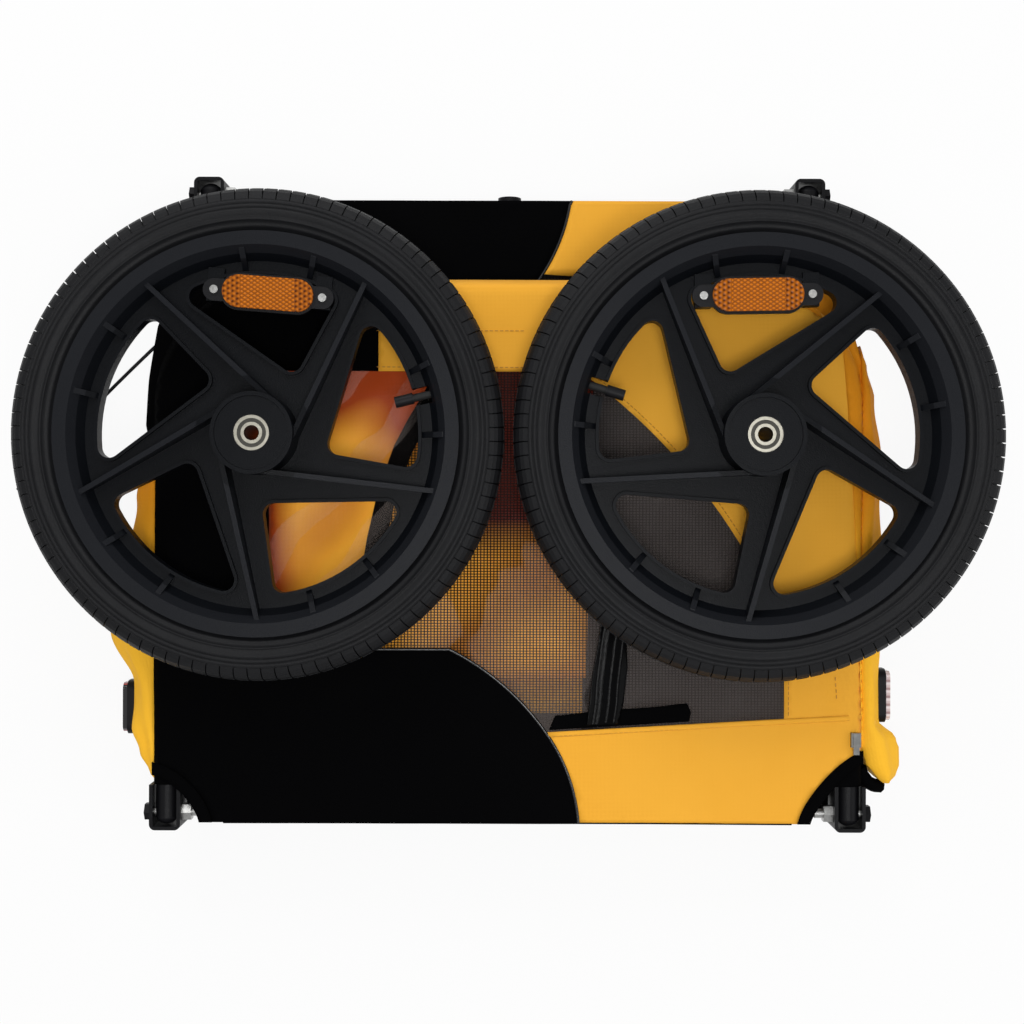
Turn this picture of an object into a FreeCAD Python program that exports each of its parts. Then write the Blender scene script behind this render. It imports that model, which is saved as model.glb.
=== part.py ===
import FreeCAD, Part
import math
import os

# Dog bike trailer, folded flat for storage, with its two wheels taken off and laid on top.
# Frame: +X towards the front, +Y towards the far side, +Z up, origin under the middle of the pack.
# All sizes in millimetres.

V = FreeCAD.Vector
UP = V(0, 0, 1)
ALONG = V(1, 0, 0)
ACROSS = V(0, 1, 0)
ENDS = (-1, 1)

# General clearances
overrun = 5.0
soft_gap = 0.3
seat_gap = 0.2
run_gap = 0.1
touch = 1e-6

# Side arches and their fold
hinge_span = 527.0
near_leg_span = 573.0
leg_nesting = 55.0
far_leg_span = near_leg_span - leg_nesting
arch_height = 437.0
arch_radius = 9.5
arch_wall = 1.5
arch_bend = 95.0
arch_tail = 4.0
plug_tip = 10.4
plug_depth = 12.0
near_hinge_height = 76.0
far_hinge_height = 38.0

# Hinge brackets and bolts
bracket_sheet = 3.0
bracket_side_gap = 0.5
bracket_back_room = 11.0
bracket_reach = 24.0
bracket_crown = 11.0
bracket_corner = 5.0
bolt_radius = 4.0
bolt_clearance = 0.15
bolt_head_radius = 7.5
bolt_head_height = 5.3
bolt_tail = 15.0
nut_height = 8.0

# Base frame and floor
rail_radius = 11.0
rail_wall = 1.5
rail_lift = 2.0
rail_inset = 12.0
cross_inset = 29.0
cross_place = far_leg_span / 2 - cross_inset
floor_sheet = 2.5
floor_side_margin = 43.0
floor_end_margin = 25.0
socket_radius = 10.0
socket_bore = 6.05
socket_length = 40.0
socket_saddle = 14.0
tow_outer = 14.0
tow_bore = 11.2
tow_length = 56.0
tow_place = 196.0
tow_start = 5.5
tow_floor = 3.0

# Spreader bars that hold the arches apart in use
spreader_radius = 8.0
spreader_wall = 1.2
spreader_length = 400.0
spreader_pitch = 26.0
spreader_offset = 28.0

# Side panels
panel_sheet = 2.5
panel_hem = 1.0
near_panel_foot = 7.0
far_panel_foot = -5.5
panel_foot_cut = 57.0
film_sheet = 0.6
film_drop = 0.3
mesh_sheet = 0.8
mesh_columns = 20
mesh_rows = 14
mesh_strand = 2.0
roof_length = 280.0
roof_width = 270.0
roof_edge = 24.0
roof_middle_share = -0.22
roof_across_share = -0.06
block_foot_share = (0.20, 0.0)
block_waist_shares = ((0.162, 0.105), (0.111, 0.167), (0.010, 0.245), (-0.165, 0.326))
block_window_share = -0.69
block_top_share = -0.367
window_front_share = 0.778
brow_shares = ((0.202, 0.85), (0.44, 0.7115), (0.778, 0.3615))
window_low_share = 0.19
window_high_share = 0.85

# End curtains, bunched between the floor and the near side
curtain_gap = 0.3
curtain_foot = 28.0
curtain_head = 84.0
curtain_shoulder_share = 0.5
curtain_thickness = 30.0
front_curtain_shares = ((0.55, 0.15), (0.25, 0.45), (-0.2, 0.6), (-0.55, 0.6), (-0.78, 0.6), (-0.97, 0.6))
rear_curtain_shares = ((0.2, 0.15), (0.0, 0.3), (-0.22, 0.7), (-0.44, 1.4), (-0.66, 0.65), (-0.92, 0.3))
curtain_reach = 238.0

# End reflectors
end_reflector_length = 46.0
end_reflector_height = 24.0
end_reflector_back = 8.0
end_lens_depth = 4.0
end_lens_margin = 2.0
end_reflector_level = 50.0
end_reflector_corner = 8.0
front_reflector_place_share = -0.7
rear_reflector_place_share = -0.75

# Zip slider on the near side panel
zip_width = 8.0
zip_length = 12.0
zip_height = 3.5
zip_tab_width = 5.0
zip_tab_length = 18.0
zip_tab_sheet = 1.5
zip_place_share = -0.78
zip_inset = 7.0

# Safety flag pole, tucked against the far side panel
pole_radius = 1.5
pole_tip_reach = 135.5
pole_tip_across = 7.0
pole_bow_reach = 27.5
pole_bow_across = 121.0
pole_heel_inset = 86.5
pole_heel_across = 222.0
pole_tip = V(-near_leg_span / 2 - pole_tip_reach, pole_tip_across, 0)
pole_bow = V(-near_leg_span / 2 - pole_bow_reach, pole_bow_across, 0)
pole_heel = V(pole_heel_inset - near_leg_span / 2, pole_heel_across, 0)

# Wheels
wheel_place = 201.5
wheel_across = 51.0
hub_half = 38.0
hub_radius = 32.5
hub_disc_radius = 29.0
hub_disc_sheet = 10.0
hub_disc_sink = 1.0
hub_bore = 16.0
bearing_outer = 14.0
bearing_bore = 6.0
bearing_width = 8.0
bearing_sink = 1.5
bearing_ring = 2.5
shield_sheet = 1.0
shield_sink = 0.4
sleeve_radius = 9.0
rim_half = 19.0
flange_radius = 162.0
flange_sheet = 4.0
bead_radius = 154.0
bead_half = 13.0
well_radius = 147.0
well_half = 6.0
well_slope = 3.0
lip_radius = 151.0
web_radius = 140.0
web_half = 3.0
spokes = 5
window_outer = 129.0
window_tip = 55.3
window_start_turn = 5.3
window_end_turn = 65.2
window_tip_turn = 2.5
window_round = 9.0
window_lip = 2.6
window_lip_rise = 4.0
rib_offset = 29.0
rib_sheet = 4.0
rib_start = 9.0
rib_hub_rise = 27.0
rib_rim_rise = 12.0
gusset_sheet = 4.5
gusset_foot = 131.0
gusset_head = 2.5
gusset_turns = (17.5, 40.0)
left_turn = 54.6
right_turn = -57.9

# Tyre and inner tube
tyre_radius = 199.0
tyre_half = 23.5
tyre_shoulder = 192.0
tyre_shoulder_half = 20.0
tyre_belly = 176.0
tyre_neck_gap = 0.8
tyre_neck_half = 14.2
tyre_toe_half = 12.0
casing = 4.0
tube_wall = 1.2

# Valve
valve_turn = -41.0
valve_stem = 3.2
valve_hole = 3.6
valve_step = 128.0
valve_cap = 4.6
valve_cap_length = 15.0
valve_notch = 14.0

# Wheel reflector
reflector_turn = 31.0
reflector_radius = 113.0
reflector_ear_pitch = 87.0
reflector_ear = 9.0
reflector_lens_length = 73.0
reflector_lens_width = 26.0
reflector_rim = 2.0
reflector_back = 4.0
reflector_lens_depth = 3.5
reflector_tab_width = 13.0
reflector_tab_reach = 9.0
screw_radius = 1.6
screw_head = 3.3
screw_head_height = 2.0
screw_length = 8.0

# Worked-out places
near_hinge_y = -hinge_span / 2
far_hinge_y = hinge_span / 2
rail_height = rail_lift + rail_radius
floor_level = rail_height + rail_radius + seat_gap
arch_gap = arch_radius + bracket_side_gap
bracket_half = arch_gap + bracket_sheet
bracket_outer_y = bracket_back_room + bracket_sheet
near_top = near_hinge_height + arch_radius + soft_gap
far_top = far_hinge_height + arch_radius + soft_gap
wheel_height = near_top + panel_sheet + soft_gap + hub_half


def box(low, high):
    size = high - low
    return Part.makeBox(size.x, size.y, size.z, low)


def rod(radius, start, end):
    return Part.makeCylinder(radius, (end - start).Length, start, end - start)


def pipe(radius, wall, start, end):
    return rod(radius, start, end).cut(rod(radius - wall, start, end))


def prism(edges, base, height):
    face = Part.Face(Part.Wire(edges))
    face.translate(V(0, 0, base))
    return face.extrude(V(0, 0, height))


def polygon(points):
    return Part.makePolygon(list(points) + [points[0]])


def polar(radius, turn, height=0):
    angle = math.radians(turn)
    return V(radius * math.cos(angle), radius * math.sin(angle), height)


def spin(points):
    """Solid of revolution about Z from a closed outline of (radius, height) points."""
    face = Part.Face(polygon([V(radius, 0, height) for radius, height in points]))
    return face.revolve(V(0, 0, 0), UP, 360)


def ring(outer, inner, base, height):
    disc = Part.makeCylinder(outer, height, V(0, 0, base))
    return disc.cut(Part.makeCylinder(inner, height, V(0, 0, base)))


def edges_along(shape, axis):
    return [edge for edge in shape.Edges if edge.tangentAt(edge.FirstParameter).cross(axis).Length < touch]


def save(node, shape):
    """Writes one piece, moved along so that the origin lies under the middle of the pack."""
    placed = shape.copy()
    placed.translate(ALONG * pack_shift())
    placed.exportStep("parts/" + node + ".step")


def pack_shift():
    pole_reach = flag_pole().optimalBoundingBox(False, False).XMin
    return -(pole_reach + wheel_place + tyre_radius) / 2


def group(solids):
    return Part.Compound(solids)


# Side arches: one bent steel tube each, pinned at both legs
def arch_path(half, hinge_y, level, inward):
    tail_y = hinge_y - inward * arch_tail
    top_y = hinge_y + inward * arch_height
    bend_y = top_y - inward * arch_bend
    lean = arch_bend * math.sin(math.pi / 4)
    edges = [Part.LineSegment(V(-half, tail_y, level), V(-half, bend_y, level)).toShape()]
    edges.append(Part.Arc(V(-half, bend_y, level),
                          V(-half + arch_bend - lean, bend_y + inward * lean, level),
                          V(-half + arch_bend, top_y, level)).toShape())
    edges.append(Part.LineSegment(V(-half + arch_bend, top_y, level),
                                  V(half - arch_bend, top_y, level)).toShape())
    edges.append(Part.Arc(V(half - arch_bend, top_y, level),
                          V(half - arch_bend + lean, bend_y + inward * lean, level),
                          V(half, bend_y, level)).toShape())
    edges.append(Part.LineSegment(V(half, bend_y, level), V(half, tail_y, level)).toShape())
    return Part.Wire(edges)


def swept(path, radius, start, heading):
    section = Part.Wire([Part.Circle(start, heading, radius).toShape()])
    return path.makePipeShell([section], True, False)


def arch(span, hinge_y, level, inward):
    half = span / 2
    path = arch_path(half, hinge_y, level, inward)
    start = V(-half, hinge_y - inward * arch_tail, level)
    heading = ACROSS * inward
    tube = swept(path, arch_radius, start, heading).cut(swept(path, arch_radius - arch_wall, start, heading))
    for end in ENDS:
        centre = V(end * half, hinge_y, level)
        hole = bolt_radius + bolt_clearance
        tube = tube.cut(rod(hole, centre - ALONG * bracket_half, centre + ALONG * bracket_half))
    return tube


def arch_plugs(span, hinge_y, level, inward):
    """Domed plastic plugs in the two leg ends, drilled for the hinge bolts."""
    plugs = []
    inner = arch_radius - arch_wall - seat_gap
    for end in ENDS:
        centre = V(end * span / 2, hinge_y, level)
        mouth = centre - ACROSS * (inward * arch_tail)
        stem = rod(inner, mouth, mouth + ACROSS * (inward * plug_depth))
        dome = Part.makeSphere(plug_tip, centre)
        cap_end = centre - ACROSS * (inward * (plug_tip + overrun))
        dome = dome.common(rod(arch_radius, cap_end, mouth))
        plug = stem.fuse(dome)
        hole = bolt_radius + bolt_clearance
        plug = plug.cut(rod(hole, centre - ALONG * bracket_half, centre + ALONG * bracket_half))
        plugs.append(plug)
    return group(plugs)


# Hinge brackets: bent steel channels that stand on the base frame
def bracket(x, hinge_y, level, inward):
    back = hinge_y - inward * bracket_outer_y
    front = hinge_y + inward * bracket_reach
    low_y, high_y = sorted((back, front))
    outer = box(V(x - bracket_half, low_y, 0), V(x + bracket_half, high_y, level + bracket_crown))
    uprights = [edge for edge in edges_along(outer, UP) if abs(edge.CenterOfMass.y - back) < touch]
    outer = outer.makeFillet(bracket_corner, uprights)
    room_y, room_end = sorted((hinge_y - inward * bracket_back_room, front + inward * overrun))
    room = box(V(x - arch_gap, room_y, -overrun), V(x + arch_gap, room_end, level + bracket_crown + overrun))
    centre = V(x, hinge_y, level)
    hole = bolt_radius + bolt_clearance
    return outer.cut(room).cut(rod(hole, centre - ALONG * bracket_half, centre + ALONG * bracket_half))


def hexagon(across, base, height, centre):
    edges = polygon([polar(across, turn) for turn in range(0, 360, 60)]).Edges
    prism_shape = prism(edges, base, height)
    prism_shape.rotate(V(0, 0, 0), ACROSS, 90)
    prism_shape.translate(centre)
    return prism_shape


def hinge_bolts(span, hinge_y, level):
    bolts = []
    for end in ENDS:
        centre = V(end * span / 2, hinge_y, level)
        head_face = end * bracket_half
        shank = rod(bolt_radius, centre + ALONG * head_face,
                    centre - ALONG * (end * (bracket_half + bolt_tail)))
        start = head_face if end > 0 else head_face - bolt_head_height
        bolts.append(shank.fuse(hexagon(bolt_head_radius, start, bolt_head_height, centre)))
    return bolts


def hinge_nuts(span, hinge_y, level):
    nuts = []
    for end in ENDS:
        centre = V(end * span / 2, hinge_y, level)
        face = -end * bracket_half
        start = face - nut_height if end > 0 else face
        nut = hexagon(bolt_head_radius, start, nut_height, centre)
        hole = rod(bolt_radius, centre - ALONG * (bracket_half + bolt_tail),
                   centre + ALONG * (bracket_half + bolt_tail))
        nuts.append(nut.cut(hole))
    return nuts


# Base frame: two long rails and two cross tubes, with sockets for the axles and the tow bar
def rail_line(side):
    return side * (hinge_span / 2 - rail_inset)


def rail(span, side):
    half = span / 2 - bracket_half
    y = rail_line(side)
    return pipe(rail_radius, rail_wall, V(-half, y, rail_height), V(half, y, rail_height))


def rail_solid(span, side):
    y = rail_line(side)
    return rod(rail_radius, V(-span / 2, y, rail_height), V(span / 2, y, rail_height))


def cross_tube(x):
    tube = pipe(rail_radius, rail_wall, V(x, rail_line(-1), rail_height), V(x, rail_line(1), rail_height))
    return tube.cut(rail_solid(near_leg_span, -1)).cut(rail_solid(far_leg_span, 1))


def axle_socket(span, side):
    outer_y = rail_line(side) + side * rail_radius
    height = rail_height + rail_radius + socket_radius
    mouth = V(0, outer_y, height)
    foot = mouth - ACROSS * (side * socket_length)
    body = rod(socket_radius, mouth, foot)
    low_y, high_y = sorted((rail_line(side) - side * socket_saddle / 2, rail_line(side) + side * socket_saddle / 2))
    saddle = box(V(-socket_radius, low_y, rail_height), V(socket_radius, high_y, height))
    body = body.fuse(saddle)
    return body.cut(rail_solid(span, side)).cut(rod(socket_bore, mouth, foot))


def tow_socket():
    start = V(cross_place + tow_start, tow_place, tow_outer)
    end = V(cross_place + rail_radius + tow_length, tow_place, tow_outer)
    seat = V(cross_place + rail_radius + tow_floor, tow_place, tow_outer)
    body = rod(tow_outer, start, end).cut(rod(tow_bore, seat, end))
    return body.cut(rod(rail_radius, V(cross_place, rail_line(-1), rail_height),
                        V(cross_place, rail_line(1), rail_height)))


def floor_panel():
    half_length = far_leg_span / 2 - floor_end_margin
    half_width = hinge_span / 2 - floor_side_margin
    return box(V(-half_length, -half_width, floor_level), V(half_length, half_width, floor_level + floor_sheet))


def spreader_bars():
    bars = []
    level = floor_level + floor_sheet + soft_gap + spreader_radius
    top_y = far_hinge_y - arch_height
    for step in range(2):
        y = top_y + spreader_offset + step * spreader_pitch
        half = spreader_length / 2
        bars.append(pipe(spreader_radius, spreader_wall, V(-half, y, level), V(half, y, level)))
    return group(bars)


# Side panels: sewn cloth stretched over an arch, drawn for the near side and mirrored for the far side
def panel_outline(span, foot, base, height):
    half = span / 2 + arch_radius + panel_hem
    foot_y = near_hinge_y - foot
    top_y = near_hinge_y + arch_height + arch_radius + panel_hem
    bend = arch_bend + arch_radius + panel_hem
    outline = box(V(-half, foot_y, base), V(half, top_y, base + height))
    corners = [edge for edge in edges_along(outline, UP) if edge.CenterOfMass.y > 0]
    outline = outline.makeFillet(bend, corners)
    for end in ENDS:
        outline = outline.cut(Part.makeCylinder(panel_foot_cut, height, V(end * half, foot_y, base)))
    return outline


def panel_point(span, share):
    half = span / 2 + arch_radius + panel_hem
    return V(half * share[0], near_hinge_y - near_panel_foot + (arch_height + near_panel_foot) * share[1], 0)


def panel_block(span, base, height):
    """Dark colour block at the rear, with the swept edge that runs down to the foot."""
    foot = panel_point(span, block_foot_share)
    low, mid, high, end = [panel_point(span, share) for share in block_waist_shares]
    half = span / 2 + arch_radius + panel_hem
    window_x = half * block_window_share
    top_x = half * block_top_share
    high_y = panel_point(span, (0, window_high_share)).y
    far_y = near_hinge_y + arch_height + arch_bend
    low_y = foot.y - overrun
    back_x = -half - overrun
    corners = [end, V(window_x, end.y, 0), V(window_x, high_y, 0), V(top_x, high_y, 0), V(top_x, far_y, 0),
               V(back_x, far_y, 0), V(back_x, low_y, 0), V(foot.x, low_y, 0), foot]
    edges = [Part.Arc(foot, low, mid).toShape(), Part.Arc(mid, high, end).toShape()]
    edges += [Part.LineSegment(a, b).toShape() for a, b in zip(corners, corners[1:])]
    return prism(edges, base, height)


def panel_window(span, base, height):
    """Window opening, with the swept yellow brow taken out of its upper front corner."""
    half = span / 2 + arch_radius + panel_hem
    low_y = panel_point(span, (0, window_low_share)).y
    high_y = panel_point(span, (0, window_high_share)).y
    opening = box(V(half * block_window_share, low_y, base), V(half * window_front_share, high_y, base + height))
    start, middle, end = [panel_point(span, share) for share in brow_shares]
    corner = V(end.x, start.y, 0)
    edges = [Part.Arc(start, middle, end).toShape(), Part.LineSegment(end, corner).toShape(),
             Part.LineSegment(corner, start).toShape()]
    return opening.cut(prism(edges, base, height))


def panel_net(span, base):
    """Window netting: one holed sheet."""
    window = panel_window(span, base, mesh_sheet).cut(panel_block(span, base, mesh_sheet))
    frame = panel_window(span, base, mesh_sheet).BoundBox
    step_x = frame.XLength / mesh_columns
    step_y = frame.YLength / mesh_rows
    holes = []
    for column in range(mesh_columns):
        for row in range(mesh_rows):
            low = V(frame.XMin + column * step_x + mesh_strand / 2, frame.YMin + row * step_y + mesh_strand / 2, base)
            high = V(low.x + step_x - mesh_strand, low.y + step_y - mesh_strand, base + mesh_sheet)
            hole = box(low, high)
            if abs(hole.common(window).Volume - hole.Volume) < hole.Volume * touch:
                holes.append(hole)
    return window.cut(holes)


def side_cloth(prefix, span, foot, base, mirrored):
    outline = panel_outline(span, foot, base, panel_sheet)
    block = panel_block(span, base, panel_sheet)
    window = panel_window(span, base, panel_sheet)
    pieces = {
        "panel_yellow": outline.cut(block).cut(window),
        "panel_black": outline.common(block),
        "window_net": panel_net(span, base),
    }
    if not mirrored:
        film_base = base + panel_sheet - film_drop - film_sheet
        film = panel_window(span, film_base, film_sheet)
        pieces["window_film"] = film.cut(panel_block(span, film_base, film_sheet))
    for name, shape in pieces.items():
        if mirrored:
            shape = shape.mirror(V(0, 0, 0), ACROSS)
        save(prefix + "_" + name, shape)


def roof_bundle():
    """Roof cloth, folded up between the two side panels."""
    low = far_top + panel_sheet + soft_gap
    high = near_top - soft_gap
    middle = V(near_leg_span / 2 * roof_middle_share, hinge_span / 2 * roof_across_share, 0)
    rings = []
    for level, inset in ((low, roof_edge), ((low + high) / 2, 0), (high, roof_edge)):
        half_x = roof_length / 2 - inset
        half_y = roof_width / 2 - inset
        corners = [middle + V(x * half_x, y * half_y, level) for x, y in ((-1, -1), (1, -1), (1, 1), (-1, 1))]
        rings.append(polygon(corners))
    return Part.makeLoft(rings, True, True)


# End curtains: the front and rear cloth, bunched outside the near arch
def curtain(end, shares):
    inner = end * (near_leg_span / 2 + arch_radius + curtain_gap)
    middle = (curtain_foot + curtain_head) / 2
    rings = []
    for place, fullness in shares:
        y = curtain_reach * place
        bulge = end * curtain_thickness * fullness
        shoulder = inner + bulge * curtain_shoulder_share
        foot = V(inner, y, curtain_foot)
        low = V(shoulder, y, curtain_foot)
        high = V(shoulder, y, curtain_head)
        head = V(inner, y, curtain_head)
        crown = V(inner + bulge, y, middle)
        rings.append(Part.Wire([Part.LineSegment(foot, low).toShape(), Part.Arc(low, crown, high).toShape(),
                                Part.LineSegment(high, head).toShape(), Part.LineSegment(head, foot).toShape()]))
    return Part.makeLoft(rings, True, True)


def curtain_face(end, shares, place):
    """How far out the curtain reaches at one place along it."""
    inner = near_leg_span / 2 + arch_radius + curtain_gap
    for (after, more), (before, less) in zip(shares, shares[1:]):
        if before <= place <= after:
            part = (place - before) / (after - before)
            return end * (inner + curtain_thickness * (less + (more - less) * part))
    raise ValueError("place is off the curtain")


def end_reflector(prefix, end, shares, place):
    reach = end_reflector_length / 2 / curtain_reach
    seats = [curtain_face(end, shares, place + step * reach) for step in ENDS + (0,)]
    back = end * (max(abs(seat) for seat in seats) + soft_gap)
    y = curtain_reach * place

    def pad(start, depth, margin):
        half_y = end_reflector_length / 2 - margin
        half_z = end_reflector_height / 2 - margin
        low_x, high_x = sorted((start, start + end * depth))
        block = box(V(low_x, y - half_y, end_reflector_level - half_z),
                    V(high_x, y + half_y, end_reflector_level + half_z))
        return block.makeFillet(end_reflector_corner - margin, edges_along(block, ALONG))

    save(prefix + "_reflector_housing", pad(back, end_reflector_back, 0))
    save(prefix + "_reflector_lens", pad(back + end * end_reflector_back, end_lens_depth, end_lens_margin))


def zip_slider():
    half = near_leg_span / 2 + arch_radius + panel_hem
    x = half - zip_inset
    y = hinge_span / 2 * zip_place_share
    base = near_top + panel_sheet + soft_gap
    body = box(V(x - zip_width / 2, y, base), V(x + zip_width / 2, y + zip_length, base + zip_height))
    tab_base = base + zip_height
    tab = box(V(x - zip_tab_width / 2, y + zip_length - zip_tab_length, tab_base),
              V(x + zip_tab_width / 2, y + zip_length, tab_base + zip_tab_sheet))
    return body.fuse(tab)


def flag_pole():
    level = far_top + panel_sheet + soft_gap + pole_radius
    tip, bow, heel = [point + UP * level for point in (pole_tip, pole_bow, pole_heel)]
    curve = Part.Arc(tip, bow, heel)
    path = Part.Wire([curve.toShape()])
    return swept(path, pole_radius, tip, curve.tangent(curve.FirstParameter)[0])


# Wheels: drawn about their own axis, outer face up, with the first rib's rim end at turn 0
def window_wire(index, grow=0):
    pitch = 360 / spokes * index
    start = polar(window_outer, pitch + window_start_turn)
    crown = polar(window_outer, pitch + (window_start_turn + window_end_turn) / 2)
    end = polar(window_outer, pitch + window_end_turn)
    tip = polar(window_tip, pitch + window_tip_turn)
    edges = [Part.Arc(start, crown, end).toShape(), Part.LineSegment(end, tip).toShape(),
             Part.LineSegment(tip, start).toShape()]
    blank = Part.Face(Part.Wire(edges)).extrude(UP)
    blank = blank.makeFillet(window_round, edges_along(blank, UP))
    floor = min(blank.Faces, key=lambda face: face.CenterOfMass.z)
    wire = floor.OuterWire
    return wire.makeOffset2D(grow) if grow else wire


def standing_plate(outline, thickness, offset, turn):
    """Plate drawn as (reach, height) points, stood on edge beside the axis and turned about it."""
    face = Part.Face(polygon([V(reach, offset - thickness / 2, height) for reach, height in outline]))
    plate = face.extrude(V(0, thickness, 0))
    plate.rotate(V(0, 0, 0), UP, turn)
    return plate


def reflector_place(point):
    """Moves a shape drawn about the reflector's middle to its place on the wheel."""
    point.rotate(V(0, 0, 0), UP, reflector_turn - 90)
    point.translate(polar(reflector_radius, reflector_turn))
    return point


def reflector_base():
    return web_half + window_lip_rise


def wheel_body():
    rim = spin(((lip_radius, rim_half), (flange_radius, rim_half), (flange_radius, rim_half - flange_sheet),
                (bead_radius, bead_half), (bead_radius, well_half + well_slope), (well_radius, well_half),
                (well_radius, -well_half), (bead_radius, -well_half - well_slope), (bead_radius, -bead_half),
                (flange_radius, flange_sheet - rim_half), (flange_radius, -rim_half), (lip_radius, -rim_half),
                (web_radius, -web_half), (web_radius, web_half)))
    web = Part.makeCylinder(web_radius + seat_gap, 2 * web_half, V(0, 0, -web_half))
    hub = Part.makeCylinder(hub_radius, 2 * hub_half, V(0, 0, -hub_half))
    solids = [web, hub]
    rib_end = math.sqrt(lip_radius ** 2 - rib_offset ** 2)
    rib_turn = math.degrees(math.acos(rib_offset / lip_radius))
    wall_top = lip_radius - gusset_head
    for index in range(spokes):
        pitch = 360 / spokes * index
        for side in ENDS:
            root = side * (web_half - seat_gap)
            rib = ((rib_start, root), (rib_end, root), (rib_end, side * (web_half + rib_rim_rise)),
                   (rib_start, side * (web_half + rib_hub_rise)))
            solids.append(standing_plate(rib, rib_sheet, -rib_offset, pitch + 90 - rib_turn))
            for turn in gusset_turns:
                gusset = ((gusset_foot, root), (web_radius + gusset_head, root),
                          (lip_radius, side * (rim_half - gusset_head)), (wall_top, side * (rim_half - gusset_head)))
                solids.append(standing_plate(gusset, gusset_sheet, 0, pitch + turn))
            lip = Part.Face(window_wire(index, window_lip))
            lip.translate(V(0, 0, root))
            solids.append(lip.extrude(V(0, 0, side * (window_lip_rise + seat_gap))))
    tab_half = reflector_tab_width / 2
    for end in ENDS:
        x = end * reflector_ear_pitch / 2
        tab = box(V(x - tab_half, -reflector_tab_reach, -web_half),
                  V(x + tab_half, web_radius - reflector_radius - reflector_tab_reach, reflector_base()))
        solids.append(reflector_place(tab))
    tabs = solids[-2:]
    body = rim.multiFuse(solids)
    for index in range(spokes):
        hole = Part.Face(window_wire(index))
        hole.translate(V(0, 0, -rim_half))
        cutter = hole.extrude(V(0, 0, 2 * rim_half))
        if index == 0:
            cutter = cutter.cut(tabs)
        body = body.cut(cutter)
    body = body.cut(rod(valve_hole, polar(web_radius - valve_notch, valve_turn), polar(bead_radius, valve_turn)))
    notch = box(V(window_outer - window_lip - overrun, -valve_notch / 2, -web_half - window_lip_rise),
                V(web_radius + web_half, valve_notch / 2, web_half + window_lip_rise))
    notch.rotate(V(0, 0, 0), UP, valve_turn)
    body = body.cut(notch)
    pocket = hub_half - hub_disc_sink - hub_disc_sheet
    for side in ENDS:
        rim_face = V(0, 0, side * (hub_half + overrun))
        body = body.cut(rod(hub_disc_radius + seat_gap, V(0, 0, side * pocket), rim_face))
    body = body.cut(Part.makeCylinder(hub_bore, 2 * hub_half, V(0, 0, -hub_half)))
    for end in ENDS:
        ear = Part.makeCylinder(screw_radius, screw_length, V(end * reflector_ear_pitch / 2, 0, reflector_base()), -UP)
        body = body.cut(reflector_place(ear))
    return body.removeSplitter()


def bearing_base():
    return hub_half - hub_disc_sink - bearing_sink - bearing_width


def mirrored_pair(shape):
    return group([shape, shape.mirror(V(0, 0, 0), UP)])


def hub_discs():
    base = hub_half - hub_disc_sink - hub_disc_sheet
    return mirrored_pair(ring(hub_disc_radius, bearing_outer, base, hub_disc_sheet))


def bearing_outer_rings():
    return mirrored_pair(ring(bearing_outer, bearing_outer - bearing_ring, bearing_base(), bearing_width))


def bearing_inner_radius():
    return bearing_bore + bearing_ring


def bearing_shields():
    base = bearing_base() + bearing_width - shield_sink - shield_sheet
    shield = ring(bearing_outer - bearing_ring, bearing_inner_radius() + run_gap, base, shield_sheet)
    return mirrored_pair(shield)


def bearing_inner_rings():
    return mirrored_pair(ring(bearing_inner_radius(), bearing_bore, bearing_base(), bearing_width))


def hub_sleeve():
    return ring(sleeve_radius, bearing_bore, -bearing_base(), 2 * bearing_base())


def tyre_wire(inset, foot_radius, foot_half):
    """Closed tyre section, drawn in by one thickness all round, from foot to crown and back."""
    neck = flange_radius + tyre_neck_gap
    half = []
    for side in ENDS:
        foot = V(foot_radius, 0, side * foot_half)
        waist = V(neck, 0, side * (tyre_neck_half - inset))
        belly = V(tyre_belly, 0, side * (tyre_half - inset))
        shoulder = V(tyre_shoulder - inset / 2, 0, side * (tyre_shoulder_half - inset))
        half.append((foot, waist, belly, shoulder))
    (foot_a, waist_a, belly_a, shoulder_a), (foot_b, waist_b, belly_b, shoulder_b) = half
    crown = V(tyre_radius - inset, 0, 0)
    return Part.Wire([
        Part.LineSegment(foot_a, waist_a).toShape(), Part.Arc(waist_a, belly_a, shoulder_a).toShape(),
        Part.Arc(shoulder_a, crown, shoulder_b).toShape(), Part.Arc(shoulder_b, belly_b, waist_b).toShape(),
        Part.LineSegment(waist_b, foot_b).toShape(), Part.LineSegment(foot_b, foot_a).toShape()])


def revolved(wire):
    return Part.Face(wire).revolve(V(0, 0, 0), UP, 360)


def tyre():
    foot = bead_radius + seat_gap
    outer = revolved(tyre_wire(0, foot, tyre_toe_half))
    return outer.cut(revolved(tyre_wire(casing, foot, tyre_toe_half - casing)))


def inner_tube():
    inset = casing + soft_gap
    foot = bead_radius + casing
    outer = revolved(tyre_wire(inset, foot, tyre_toe_half - inset))
    inner_inset = inset + tube_wall
    stem = rod(valve_stem, polar(valve_step, valve_turn), polar(foot + tube_wall, valve_turn))
    return outer.fuse(stem).cut(revolved(tyre_wire(inner_inset, foot + tube_wall, tyre_toe_half - inner_inset)))


def valve_cap_piece():
    return rod(valve_cap, polar(valve_step - valve_cap_length, valve_turn), polar(valve_step, valve_turn))


def stadium(length, width, base, height):
    radius = width / 2
    reach = length / 2 - radius
    shape = box(V(-reach, -radius, base), V(reach, radius, base + height))
    for end in ENDS:
        shape = shape.fuse(Part.makeCylinder(radius, height, V(end * reach, 0, base)))
    return shape.removeSplitter()


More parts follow.
